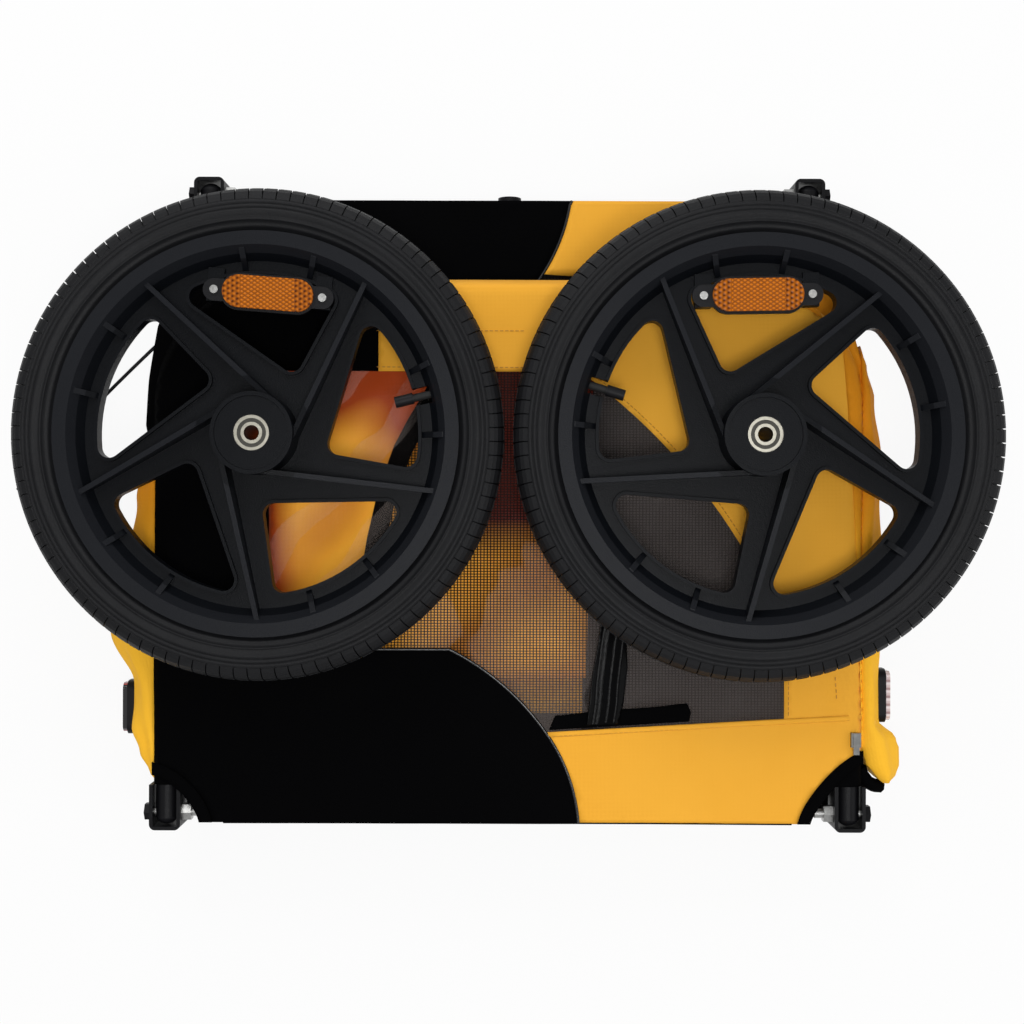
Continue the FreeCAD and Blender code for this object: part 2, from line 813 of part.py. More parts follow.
def wheel_reflector_housing():
    base = reflector_base()
    back = stadium(reflector_lens_length + 2 * reflector_rim, reflector_lens_width + 2 * reflector_rim,
                   base, reflector_back)
    ears = stadium(reflector_ear_pitch + 2 * reflector_ear, 2 * reflector_ear, base, reflector_back)
    back = back.fuse(ears).removeSplitter()
    for end in ENDS:
        back = back.cut(Part.makeCylinder(screw_radius, reflector_back, V(end * reflector_ear_pitch / 2, 0, base)))
    return reflector_place(back)


def wheel_reflector_lens():
    base = reflector_base() + reflector_back
    lens = stadium(reflector_lens_length, reflector_lens_width, base, reflector_lens_depth)
    return reflector_place(lens)


def wheel_reflector_screws():
    top = reflector_base() + reflector_back
    screws = []
    for end in ENDS:
        seat = V(end * reflector_ear_pitch / 2, 0, top)
        shank = Part.makeCylinder(screw_radius, screw_length, seat, -UP)
        head = Part.makeCylinder(screw_head, screw_head_height, seat)
        screws.append(reflector_place(shank.fuse(head)))
    return group(screws)


def save_wheels():
    pieces = {
        "wheel_body": wheel_body(), "hub_discs": hub_discs(), "bearing_outer_rings": bearing_outer_rings(),
        "bearing_shields": bearing_shields(), "bearing_inner_rings": bearing_inner_rings(),
        "hub_sleeve": hub_sleeve(), "tyre": tyre(), "inner_tube": inner_tube(),
        "valve_cap": valve_cap_piece(), "wheel_reflector_housing": wheel_reflector_housing(),
        "wheel_reflector_lens": wheel_reflector_lens(), "wheel_reflector_screws": wheel_reflector_screws(),
    }
    for prefix, end, turn in (("left", -1, left_turn), ("right", 1, right_turn)):
        for name, drawn in pieces.items():
            shape = drawn.mirror(V(0, 0, 0), ALONG) if end > 0 else drawn.copy()
            shape.rotate(V(0, 0, 0), UP, turn)
            shape.translate(V(end * wheel_place, wheel_across, wheel_height))
            save(prefix + "_" + name, shape)


os.makedirs("parts", exist_ok=True)
sides = (("near", near_leg_span, near_hinge_y, near_hinge_height, 1),
         ("far", far_leg_span, far_hinge_y, far_hinge_height, -1))
bolts = []
nuts = []
for prefix, span, hinge_y, level, inward in sides:
    save(prefix + "_arch", arch(span, hinge_y, level, inward))
    save(prefix + "_arch_plugs", arch_plugs(span, hinge_y, level, inward))
    bolts += hinge_bolts(span, hinge_y, level)
    nuts += hinge_nuts(span, hinge_y, level)
    save(prefix + "_rail", rail(span, -inward))
    save(prefix + "_axle_socket", axle_socket(span, -inward))
    for end, place in zip(ENDS, ("rear", "front")):
        save(prefix + "_" + place + "_bracket", bracket(end * span / 2, hinge_y, level, inward))
save("hinge_bolts", group(bolts))
save("hinge_nuts", group(nuts))
save("rear_cross_tube", cross_tube(-cross_place))
save("front_cross_tube", cross_tube(cross_place))
save("tow_socket", tow_socket())
save("floor_panel", floor_panel())
save("spreader_bars", spreader_bars())
side_cloth("near", near_leg_span, near_panel_foot, near_top, False)
side_cloth("far", far_leg_span, far_panel_foot, far_top, True)
save("roof_bundle", roof_bundle())
save("front_curtain", curtain(1, front_curtain_shares))
save("rear_curtain", curtain(-1, rear_curtain_shares))
end_reflector("front", 1, front_curtain_shares, front_reflector_place_share)
end_reflector("rear", -1, rear_curtain_shares, rear_reflector_place_share)
save("zip_slider", zip_slider())
save("flag_pole", flag_pole())
save_wheels()
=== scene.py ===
import math

import bmesh
import bpy
from mathutils import Matrix, Vector, noise
from mathutils.geometry import delaunay_2d_cdt


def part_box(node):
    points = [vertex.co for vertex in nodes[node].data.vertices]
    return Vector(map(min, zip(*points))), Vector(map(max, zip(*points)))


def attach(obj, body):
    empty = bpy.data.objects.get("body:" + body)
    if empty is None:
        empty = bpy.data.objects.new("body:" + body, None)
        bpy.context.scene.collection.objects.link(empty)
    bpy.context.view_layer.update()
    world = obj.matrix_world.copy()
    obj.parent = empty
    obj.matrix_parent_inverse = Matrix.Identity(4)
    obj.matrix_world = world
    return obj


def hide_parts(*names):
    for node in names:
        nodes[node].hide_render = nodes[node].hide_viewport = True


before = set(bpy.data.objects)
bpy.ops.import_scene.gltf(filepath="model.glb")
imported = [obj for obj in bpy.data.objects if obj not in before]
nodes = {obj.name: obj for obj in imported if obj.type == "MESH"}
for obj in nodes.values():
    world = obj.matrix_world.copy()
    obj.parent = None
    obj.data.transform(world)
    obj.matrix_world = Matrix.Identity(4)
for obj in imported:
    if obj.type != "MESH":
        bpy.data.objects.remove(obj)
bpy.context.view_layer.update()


# Base frame, hinge brackets and side arches.
# Round steel tube and bent steel channel, powder coated black with a slight orange-peel skin.
# The brackets are bolted through, and handling has left faint paler rubs.
class Value:
    """One shader value. Working with it adds the Math nodes that the sum needs."""

    def __init__(self, tree, socket):
        self.tree = tree
        self.socket = socket

    def maths(self, operation, first, second=0.0):
        node = self.tree.nodes.new("ShaderNodeMath")
        node.operation = operation
        for slot, given in zip(node.inputs, (first, second)):
            connect(self.tree, slot, given)
        return Value(self.tree, node.outputs[0])

    def __add__(self, other):
        return self.maths("ADD", self, other)

    def __sub__(self, other):
        return self.maths("SUBTRACT", self, other)

    def __rsub__(self, other):
        return self.maths("SUBTRACT", other, self)

    def __mul__(self, other):
        return self.maths("MULTIPLY", self, other)

    __radd__ = __add__
    __rmul__ = __mul__

    def above(self, limit):
        return self.maths("GREATER_THAN", self, limit)

    def least(self, other):
        return self.maths("MINIMUM", self, other)

    def most(self, other):
        return self.maths("MAXIMUM", self, other)

    def clip(self):
        return self.most(0.0).least(1.0)

    def size(self):
        return self.maths("ABSOLUTE", self)

    def wave(self, pitch):
        return self.maths("SINE", self * (math.tau / pitch)) * 0.5 + 0.5


def connect(tree, slot, given):
    if isinstance(given, Value):
        tree.links.new(given.socket, slot)
    else:
        slot.default_value = given


class Finish:
    """A material with one Principled shader and the nodes that vary it over a piece."""

    def __init__(self, name, colour, roughness, shine=0.5, **sockets):
        self.material = bpy.data.materials.new(name)
        self.material.use_nodes = True
        self.tree = self.material.node_tree
        self.shader = self.tree.nodes["Principled BSDF"]
        self.shader.inputs["Base Color"].default_value = (*colour, 1)
        self.shader.inputs["Roughness"].default_value = roughness
        self.shader.inputs["Specular IOR Level"].default_value = shine
        for socket, given in sockets.items():
            self.shader.inputs[socket.replace("_", " ").title()].default_value = given

    def add(self, kind, settings=(), sockets=(), output=0):
        node = self.tree.nodes.new(kind)
        for setting, given in dict(settings).items():
            setattr(node, setting, given)
        for slot, given in dict(sockets).items():
            connect(self.tree, node.inputs[slot], given)
        return Value(self.tree, node.outputs[output])

    def place(self):
        return self.add("ShaderNodeTexCoord", output="Object")

    def axes(self):
        split = self.add("ShaderNodeSeparateXYZ", sockets={"Vector": self.place()})
        return [Value(self.tree, split.socket.node.outputs[axis]) for axis in range(3)]

    def clouds(self, scale, detail=3.0, rough=0.55):
        return self.add("ShaderNodeTexNoise",
                        sockets={"Vector": self.place(), "Scale": scale, "Detail": detail, "Roughness": rough})

    def blend(self, factor, first, second):
        colours = {slot: given if isinstance(given, Value) else (*given, 1)
                   for slot, given in ((6, first), (7, second))}
        return self.add("ShaderNodeMix", {"data_type": "RGBA"}, {0: factor, **colours}, 2)

    def feed(self, slot, given):
        connect(self.tree, self.shader.inputs[slot], given)

    def bump(self, height, distance, strength=1.0):
        sockets = {"Height": height, "Distance": distance, "Strength": strength}
        self.feed("Normal", self.add("ShaderNodeBump", sockets=sockets))


def corners(node):
    """Low and high corner of a node's box."""
    return [Vector(corner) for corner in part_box(node)]


def coat(finish, *names):
    for name in names:
        nodes[name].data.materials.clear()
        nodes[name].data.materials.append(finish.material)


def powder_coat():
    black, rub_and_highlight_grey = (0.004, 0.004, 0.005), (0.04, 0.04, 0.04)
    finish = Finish("black_powder_coat", black, roughness=0.42, shine=0.14)
    peel = finish.clouds(900, 2)
    rub = finish.clouds(60, 5).above(0.68)
    finish.feed("Base Color", finish.blend(rub * 0.25, black, rub_and_highlight_grey))
    finish.feed("Roughness", peel * 0.12 + 0.36)
    finish.bump(peel, distance=0.0002)
    return finish


coat(powder_coat(), "near_rail", "far_rail", "front_cross_tube", "rear_cross_tube", "near_front_bracket",
     "near_rear_bracket", "far_front_bracket", "far_rear_bracket", "near_axle_socket", "far_axle_socket",
     "tow_socket", "near_arch", "far_arch", "spreader_bars")


# Bolts, lock nuts, reflector screws, hub sleeves and bearing rings.
# Bright zinc-plated steel, with the faint streaks that plating and turning leave.
# The lock nuts sit on the inner cheeks of the hinge brackets.
def bare_metal(name, grain, dark, light, polish, relief=0.0):
    finish = Finish(name, light, polish, metallic=1.0)
    streaks = finish.clouds(grain, 4)
    finish.feed("Base Color", finish.blend(streaks, dark, light))
    finish.feed("Roughness", streaks * 0.2 + polish)
    if relief:
        finish.bump(streaks, relief)
    return finish


def painted_heads(middle, near_reach, far_reach):
    """Zinc bolts whose heads were coated with the brackets, beyond each hinge line's reach from the middle."""
    finish = Finish("part_painted_bolt", (0.45, 0.45, 0.44), roughness=0.4, shine=0.14)
    x, y, z = finish.axes()
    far_line = y.above(0.0)
    paint = (x - middle).size().above(far_line * (far_reach - near_reach) + near_reach)
    finish.feed("Base Color", finish.blend(paint, (0.42, 0.42, 0.41), (0.003, 0.003, 0.004)))
    finish.feed("Metallic", 1 - paint)
    return finish


zinc = bare_metal("zinc_plate", grain=420, dark=(0.30, 0.30, 0.30), light=(0.56, 0.56, 0.54), polish=0.24,
                  relief=0.0002)
ground_steel = bare_metal("ground_steel", grain=380, dark=(0.30, 0.285, 0.24), light=(0.48, 0.46, 0.39),
                          polish=0.26)
coat(zinc, "hinge_nuts")
bracket_ends = [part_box(line + "_" + end + "_bracket")[high][0] for line in ("near", "far")
                for end, high in (("rear", 0), ("front", 1))]
head_margin = 0.0002
near_reach, far_reach = ((front - rear) / 2 - head_margin
                         for rear, front in (bracket_ends[:2], bracket_ends[2:]))
coat(painted_heads(sum(bracket_ends) / 4, near_reach, far_reach), "hinge_bolts")
for side in ("left", "right"):
    coat(zinc, side + "_hub_sleeve", side + "_wheel_reflector_screws")
    coat(ground_steel, side + "_bearing_outer_rings", side + "_bearing_inner_rings")


# Bearing shields: pressed dark seals between the two rings of each wheel bearing.
# They are matt and a little dusty.
def bearing_seal():
    finish = Finish("bearing_seal", (0.05, 0.048, 0.04), roughness=0.5, shine=0.2)
    dust = finish.clouds(300, 3)
    finish.feed("Base Color", finish.blend(dust, (0.075, 0.072, 0.06), (0.028, 0.027, 0.024)))
    finish.bump(dust, distance=0.0002)
    return finish


seal = bearing_seal()
coat(seal, "left_bearing_shields", "right_bearing_shields")


# Floor panel, arch plugs, valve caps, reflector housings and the flag pole: black plastics.
# Each has the fine spark-eroded grain of a mould, and the floor panel a coarser one.
def moulded_black(name, colour, grain, depth, roughness, shine=0.13):
    finish = Finish(name, colour, roughness, shine)
    speckle = finish.clouds(grain, 3)
    drift = finish.clouds(14, 2)
    finish.feed("Base Color", finish.blend(drift, colour, tuple(part * 1.7 for part in colour)))
    finish.feed("Roughness", speckle * 0.14 + (roughness - 0.07))
    finish.bump(speckle, depth)
    return finish


small_black = moulded_black("small_black_plastic", (0.006, 0.006, 0.007), grain=1500, depth=0.00015,
                            roughness=0.4)
coat(small_black, "near_arch_plugs", "far_arch_plugs", "front_reflector_housing", "rear_reflector_housing",
     "flag_pole")
floor_board = moulded_black("floor_board", (0.014, 0.014, 0.015), grain=700, depth=0.0004, roughness=0.6)
coat(floor_board, "floor_panel")
for side in ("left", "right"):
    coat(small_black, side + "_valve_cap", side + "_wheel_reflector_housing")


# Wheel mouldings: one-piece black nylon wheels with five straight ribs and raised window lips.
# The flange and the rib tops carry a painted highlight in a paler grey, and the moulding has faint flow marks.
def wheel_nylon(side):
    """Black nylon, with a painted highlight on the flange of the rim and along the tops of the ribs."""
    # The third colour is the paler grey of the painted highlight.
    black, cloudy, rub_and_highlight_grey = (0.0022, 0.0027, 0.0038), (0.0042, 0.0049, 0.0065), (0.0135, 0.0145, 0.0175)
    finish = Finish(side + "_wheel_nylon", black, roughness=0.38, shine=0.085)
    x, y, z = finish.axes()
    low, high = corners(side + "_hub_sleeve")
    over, up = x - (low.x + high.x) / 2, y - (low.y + high.y) / 2
    spread = over * over + up * up
    flange_radius, hub_radius, rib_level = 0.1480, 0.0460, 0.0108
    flange = spread.above(flange_radius ** 2)
    ribs = spread.above(hub_radius ** 2) * (z - (low.z + high.z) / 2).above(rib_level) * (1 - flange)
    speckle = finish.clouds(1100, 3)
    dark = finish.blend(finish.clouds(14, 2), black, cloudy)
    # Painted highlight on the flange and the rib tops, mottled by the speckle.
    painted_highlight = (flange + ribs) * (speckle * 0.5 + 0.4)
    finish.feed("Base Color", finish.blend(painted_highlight, dark, rub_and_highlight_grey))
    finish.feed("Roughness", speckle * 0.14 + 0.31)
    finish.bump(speckle, distance=0.0002)
    return finish


for side in ("left", "right"):
    coat(wheel_nylon(side), side + "_wheel_body", side + "_hub_discs")


# Tyres: 16 inch black rubber, with moulded rings round the wall and rows of shoulder blocks.
# They sit in the rim with an inner tube inside, whose stem comes out through the well.
tyre_ring_steps = 200
tyre_wall = (
    (0.1565, 0.0120), (0.1605, 0.0136), (0.1632, 0.0148), (0.1646, 0.0168), (0.1656, 0.0179), (0.1664, 0.0183),
    (0.1676, 0.0183), (0.1684, 0.0190), (0.1698, 0.0204), (0.1701, 0.0216), (0.1710, 0.0219), (0.1713, 0.0208),
    (0.1735, 0.0221), (0.1762, 0.0230), (0.1786, 0.0233), (0.1789, 0.0224), (0.1796, 0.0224), (0.1799, 0.0232),
    (0.1822, 0.0229), (0.1825, 0.0219), (0.1832, 0.0218), (0.1835, 0.0226), (0.1860, 0.0219), (0.1866, 0.0200),
    (0.1878, 0.0190), (0.1894, 0.0176), (0.1910, 0.0158), (0.1925, 0.0136), (0.1936, 0.0110), (0.1943, 0.0080),
    (0.1947, 0.0040), (0.1948, 0.0))
tyre_inside = ((0.1925, 0.0), (0.1870, 0.0125), (0.1760, 0.0190), (0.1640, 0.0110), (0.1565, 0.0085))
tread_blocks = 108
tread_turn = math.tau / tread_blocks


def meshed(name, points, faces):
    mesh = bpy.data.meshes.new(name)
    mesh.from_pydata(points, [], faces)
    return mesh


def linked(name, data):
    thing = bpy.data.objects.new(name, data)
    bpy.context.scene.collection.objects.link(thing)
    return thing


def revolved(name, outline, steps, centre):
    """Closed section of (radius, height) points turned about an upright axis."""
    points = []
    faces = []
    count = len(outline)
    for step in range(steps):
        turn = math.tau * step / steps
        for radius, height in outline:
            points.append(centre + Vector((radius * math.cos(turn), radius * math.sin(turn), height)))
    for step in range(steps):
        after = (step + 1) % steps
        for index in range(count):
            follow = (index + 1) % count
            faces.append((step * count + index, after * count + index, after * count + follow,
                          step * count + follow))
    return meshed(name, points, faces)


def smooth(mesh):
    mesh.polygons.foreach_set("use_smooth", [True] * len(mesh.polygons))
    return mesh


def piece(name, mesh, finish, body, slot, *replaced):
    thing = linked(name, mesh)
    mesh.materials.clear()
    mesh.materials.append(finish.material)
    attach(thing, body)
    if replaced:
        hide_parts(*replaced)
    return thing


def settled(thing):
    """Plain mesh of an object with its modifiers worked out."""
    bpy.context.view_layer.update()
    graph = bpy.context.evaluated_depsgraph_get()
    mesh = bpy.data.meshes.new_from_object(thing.evaluated_get(graph))
    bpy.data.objects.remove(thing)
    return mesh


def fresh(tree, *kinds):
    return [tree.nodes.new(kind) for kind in kinds]


def node_group(name, inputs):
    tree = bpy.data.node_groups.new(name, "GeometryNodeTree")
    tree.interface.new_socket("Geometry", in_out="INPUT", socket_type="NodeSocketGeometry")
    for label, kind in inputs:
        tree.interface.new_socket(label, in_out="INPUT", socket_type=kind)
    tree.interface.new_socket("Geometry", in_out="OUTPUT", socket_type="NodeSocketGeometry")
    return tree, *fresh(tree, "NodeGroupInput", "NodeGroupOutput")


def run_group(thing, tree, **values):
    modifier = thing.modifiers.new(tree.name, "NODES")
    modifier.node_group = tree
    for item in tree.interface.items_tree:
        if item.in_out == "INPUT" and item.name in values:
            modifier[item.identifier] = values[item.name]


def ring_tree():
    """Repeats one shape round the wheel axis, then moves the ring to its wheel."""
    tree, given, result = node_group("round_the_wheel", (
        ("Count", "NodeSocketInt"), ("Start", "NodeSocketFloat"), ("Centre", "NodeSocketVector"),
        ("Finish", "NodeSocketMaterial")))
    points, number, share, turn, spin, place, real, move, dress = fresh(
        tree, "GeometryNodePoints", "GeometryNodeInputIndex", "ShaderNodeMath", "ShaderNodeMath",
        "ShaderNodeCombineXYZ", "GeometryNodeInstanceOnPoints", "GeometryNodeRealizeInstances",
        "GeometryNodeTransform", "GeometryNodeSetMaterial")
    share.operation = "DIVIDE"
    turn.operation = "MULTIPLY_ADD"
    turn.inputs[1].default_value = math.tau
    for start, end in (
            (given.outputs["Count"], points.inputs["Count"]), (number.outputs[0], share.inputs[0]),
            (given.outputs["Count"], share.inputs[1]), (share.outputs[0], turn.inputs[0]),
            (given.outputs["Start"], turn.inputs[2]), (turn.outputs[0], spin.inputs["Z"]),
            (points.outputs[0], place.inputs["Points"]), (given.outputs["Geometry"], place.inputs["Instance"]),
            (spin.outputs[0], place.inputs["Rotation"]), (place.outputs[0], real.inputs[0]),
            (real.outputs[0], move.inputs["Geometry"]), (given.outputs["Centre"], move.inputs["Translation"]),
            (move.outputs[0], dress.inputs["Geometry"]), (given.outputs["Finish"], dress.inputs["Material"]),
            (dress.outputs[0], result.inputs[0])):
        tree.links.new(start, end)
    return tree


round_the_wheel = ring_tree()


def tyre_rubber():
    finish = Finish("tyre_rubber", (0.006, 0.006, 0.007), roughness=0.5, shine=0.18)
    skin = finish.clouds(700, 4)
    scuff = finish.clouds(30, 5)
    finish.feed("Base Color", finish.blend(scuff, (0.0035, 0.0037, 0.0045), (0.0085, 0.0088, 0.0102)))
    finish.feed("Roughness", skin * 0.2 + 0.44)
    finish.bump(skin, distance=0.0003)
    return finish


def tread_bar(name, profile, wide, depth):
    """Closed bar of the tread at turn 0: a strip over (radius, height, shift) points, as deep as given."""
    narrowing = 12
    points = []
    for sunk in (0.0, depth):
        for radius, height, shift in profile:
            for turn in (shift - wide, shift + wide):
                flat = radius - sunk
                points.append((flat * math.cos(turn), flat * math.sin(turn), height * (1 - sunk * narrowing)))
    count = 2 * len(profile)
    faces = [(0, 1, count + 1, count), (count - 2, count - 1, 2 * count - 1, 2 * count - 2)]
    for near_end in range(0, count - 2, 2):
        far_end = near_end + 2
        faces += [(near_end, near_end + 1, far_end + 1, far_end),
                  (count + near_end, count + near_end + 1, count + far_end + 1, count + far_end),
                  (near_end, far_end, count + far_end, count + near_end),
                  (near_end + 1, far_end + 1, count + far_end + 1, count + near_end + 1)]
    return meshed(name, points, faces)


def tread_block(side):
    """Shoulder block of the tread, lying over the edge of the crown."""
    profile = [(radius, side * height, shift) for radius, height, shift in (
        (0.1870, 0.0212, 0.0), (0.1902, 0.0202, 0.0), (0.1932, 0.0182, 0.001), (0.1958, 0.0142, 0.002),
        (0.1974, 0.0088, 0.004))]
    return tread_bar("tread_block", profile, wide=tread_turn * 0.455, depth=0.004)


def crown_block():
    """Middle block of the tread, a bent bar across the crown."""
    profile = [(0.1979, height, shift) for height, shift in ((-0.0072, -0.012), (0.0, 0.0), (0.0072, -0.012))]
    return tread_bar("crown_block", profile, wide=tread_turn * 0.38, depth=0.003)


def outward(mesh):
    """Turns every face of a closed mesh to the outside."""
    work = bmesh.new()
    work.from_mesh(mesh)
    bmesh.ops.recalc_face_normals(work, faces=work.faces)
    work.to_mesh(mesh)
    work.free()
    return mesh


def joined(name, meshes):
    work = bmesh.new()
    for mesh in meshes:
        work.from_mesh(mesh)
    whole = bpy.data.meshes.new(name)
    work.to_mesh(whole)
    work.free()
    return whole


rubber = tyre_rubber()
wheel_centres = {}
for side in ("left", "right"):
    low, high = corners(side + "_hub_sleeve")
    wheel_centres[side] = (low + high) / 2
    section = list(tyre_wall) + [(radius, -height) for radius, height in tyre_wall[-2::-1]]
    section += [(radius, -height) for radius, height in tyre_inside[::-1]] + list(tyre_inside[1:])
    carcass = smooth(outward(revolved("carcass", section, tyre_ring_steps, wheel_centres[side])))
    rows = [carcass]
    for shape, start in ((tread_block(1), 0.0), (tread_block(-1), 0.5), (crown_block(), 0.25)):
        seed = linked("tread_row", outward(shape))
        run_group(seed, round_the_wheel, Count=tread_blocks, Start=tread_turn * start,
                  Centre=wheel_centres[side], Finish=rubber.material)
        rows.append(settled(seed))
    piece(side + "_tyre_tread", joined("tyre", rows), rubber, side + "_wheel", "tyre_rubber", side + "_tyre")
tube_black = moulded_black("tube_rubber", (0.014, 0.014, 0.014), grain=900, depth=0.0003, roughness=0.55)
coat(tube_black, "left_inner_tube", "right_inner_tube")


# Wheel reflectors: amber prismatic lens in a black housing, screwed to two tabs of the wheel.
# The middle of the lens has slanted prisms and both ends have hexagon cells.
def hexagons(across, along, pitch):
    """Three crossed waves, which peak on a grid of hexagon cells."""
    half, rise = across * 0.5, along * 0.866
    return (across.wave(pitch) + (rise - half).wave(pitch) + (rise + half).wave(pitch)) * 0.33


def prism_lens(name, deep, bright, middle):
    """Moulded lens: slanted diamonds within the middle half length, hexagon cells beyond it."""
    finish = Finish(name, bright, roughness=0.3, shine=0.12)
    x, y, z = finish.axes()
    cell_pitch, prism_pitch, slant, half_middle = 0.0036, 0.0034, 0.66, 0.0215
    cells = hexagons(x, y, cell_pitch)
    prisms = (x * slant + y).wave(prism_pitch) * (x * slant - y).wave(prism_pitch)
    ends = (x - middle).size().above(half_middle)
    relief = cells * ends * 0.7 + (prisms * 0.75 + 0.3) * (1 - ends)
    murk = finish.clouds(160, 2)
    lit = (relief * 1.5 - 0.25 + murk * 0.25).clip()
    finish.feed("Base Color", finish.blend(lit, deep, bright))
    finish.feed("Roughness", relief * 0.2 + 0.25)
    finish.bump(relief, distance=0.0012, strength=0.6)
    return finish


for side in ("left", "right"):
    low, high = corners(side + "_wheel_reflector_lens")
    coat(prism_lens(side + "_amber_lens", (0.07, 0.013, 0.0006), (0.58, 0.155, 0.004), (low.x + high.x) / 2),
         side + "_wheel_reflector_lens")


# End reflectors on the curtains: a clear one in front and a red one behind, on black housings.
# Their cells run the whole length of the lens, and the red one has a black edge.
def cell_lens(name, deep, bright, node, edge):
    finish = Finish(name, bright, roughness=0.12, coat_weight=0.6)
    x, y, z = finish.axes()
    low, high = corners(node)
    rim_width, cell_pitch = 0.0016, 0.0034
    rim = (z - (low.z + high.z) / 2).size().above((high.z - low.z) / 2 - rim_width)
    cells = hexagons(y, z, cell_pitch)
    lit = finish.blend((cells * 1.6 - 0.25).clip(), deep, bright)
    finish.feed("Base Color", finish.blend(rim * edge, lit, (0.006, 0.006, 0.007)))
    finish.bump(cells, distance=0.0012, strength=0.6)
    coat(finish, node)


cell_lens("clear_lens", (0.42, 0.27, 0.27), (0.90, 0.78, 0.78), "front_reflector_lens", 0.0)
cell_lens("red_lens", (0.09, 0.003, 0.003), (0.50, 0.016, 0.012), "rear_reflector_lens", 1.0)


# Side panels: coated polyester cloth, yellow in front and black behind, sewn together in a swept seam.
# Each is a sleeve over its bent tube arch, so it rolls over the tube along three sides.
# The near panel lies on top of the pack and the far one, mirrored, below it.
def arc_points(first, middle, last, steps):
    """Points on the circle arc through three points."""
    ax, ay, bx, by, cx, cy = *first, *middle, *last
    d = 2 * (ax * (by - cy) + bx * (cy - ay) + cx * (ay - by))
    a2, b2, c2 = ax * ax + ay * ay, bx * bx + by * by, cx * cx + cy * cy
    ox = (a2 * (by - cy) + b2 * (cy - ay) + c2 * (ay - by)) / d
    oy = (a2 * (cx - bx) + b2 * (ax - cx) + c2 * (bx - ax)) / d
    radius = math.hypot(ax - ox, ay - oy)
    start = math.atan2(ay - oy, ax - ox)
    through = (math.atan2(by - oy, bx - ox) - start) % math.tau
    sweep = (math.atan2(cy - oy, cx - ox) - start) % math.tau
    if through > sweep:
        sweep -= math.tau
    return [(ox + radius * math.cos(start + sweep * step / steps),
             oy + radius * math.sin(start + sweep * step / steps)) for step in range(steps + 1)]


def inside(point, loop):
    x, y = point
    hit = False
    for (ax, ay), (bx, by) in zip(loop, loop[1:] + loop[:1]):
        if (ay > y) != (by > y) and x < (bx - ax) * (y - ay) / (by - ay) + ax:
            hit = not hit
    return hit


def cut_cloth(name, loop, pitch, height):
    """Flat cloth cut to an outline, meshed finely, then lifted by a height function."""
    edge = []
    for (ax, ay), (bx, by) in zip(loop, loop[1:] + loop[:1]):
        steps = max(1, round(math.hypot(bx - ax, by - ay) / pitch))
        edge += [(ax + (bx - ax) * step / steps, ay + (by - ay) * step / steps) for step in range(steps)]
    xs = [x for x, y in loop]
    ys = [y for x, y in loop]
    fill = []
    for row in range(int((max(ys) - min(ys)) / pitch)):
        for column in range(int((max(xs) - min(xs)) / pitch)):
            spot = (min(xs) + (column + 0.5 + 0.5 * (row % 2)) * pitch, min(ys) + (row + 0.5) * pitch)
            if inside(spot, loop):
                fill.append(spot)
    near_edge = {}
    for x, y in edge:
        near_edge.setdefault((round(x / pitch), round(y / pitch)), []).append((x, y))
    kept = []
    for x, y in fill:
        cell = (round(x / pitch), round(y / pitch))
        close = [spot for i in (-1, 0, 1) for j in (-1, 0, 1)
                 for spot in near_edge.get((cell[0] + i, cell[1] + j), ())]
        if all(math.hypot(x - ex, y - ey) > pitch * 0.5 for ex, ey in close):
            kept.append((x, y))
    spots = [Vector(spot) for spot in edge + kept]
    found = delaunay_2d_cdt(spots, [], [list(range(len(edge)))], 1, 1e-7)
    return smooth(outward_sheet(meshed(name, [(x, y, height(x, y)) for x, y in found[0]], found[2])))


def outward_sheet(mesh):
    """Turns a sheet's faces upwards."""
    mesh.update()
    if sum(face.normal.z for face in mesh.polygons) < 0:
        mesh.flip_normals()
    return mesh


def area(mesh):
    return sum(face.area for face in mesh.polygons)


def cut_from(sheet, size, carrier):
    """Works out the smallest cloth that a sheet can be cut from; the result is not kept."""
    bpy.context.view_layer.update()
    wide = sheet.dimensions.x
    tall = max(sheet.dimensions.y, size / wide)


def thickened(name, mesh, thickness):
    thing = linked(name, mesh)
    wall = thing.modifiers.new("wall", "SOLIDIFY")
    wall.thickness = thickness
    wall.offset = 0
    return settled(thing)


def stiff_cloth(name, loop, pitch, height, wall):
    return thickened(name, cut_cloth(name, loop, pitch, height), wall)


near_low, near_high = corners("near_arch")
mid_x = (near_low.x + near_high.x) / 2
hinge_near = -0.2635
arch_rise, panel_rise, panel_foot = 0.437, 0.444, 0.007
panel_out = 0.0105
bend_radius = 0.095
bend_outer = bend_radius + panel_out
window_rear, window_front, window_top = -0.69, 0.778, 0.85
colour_split, seam_knee = -0.367, 0.111
sill_up, sill_climb = 0.171, 0.06


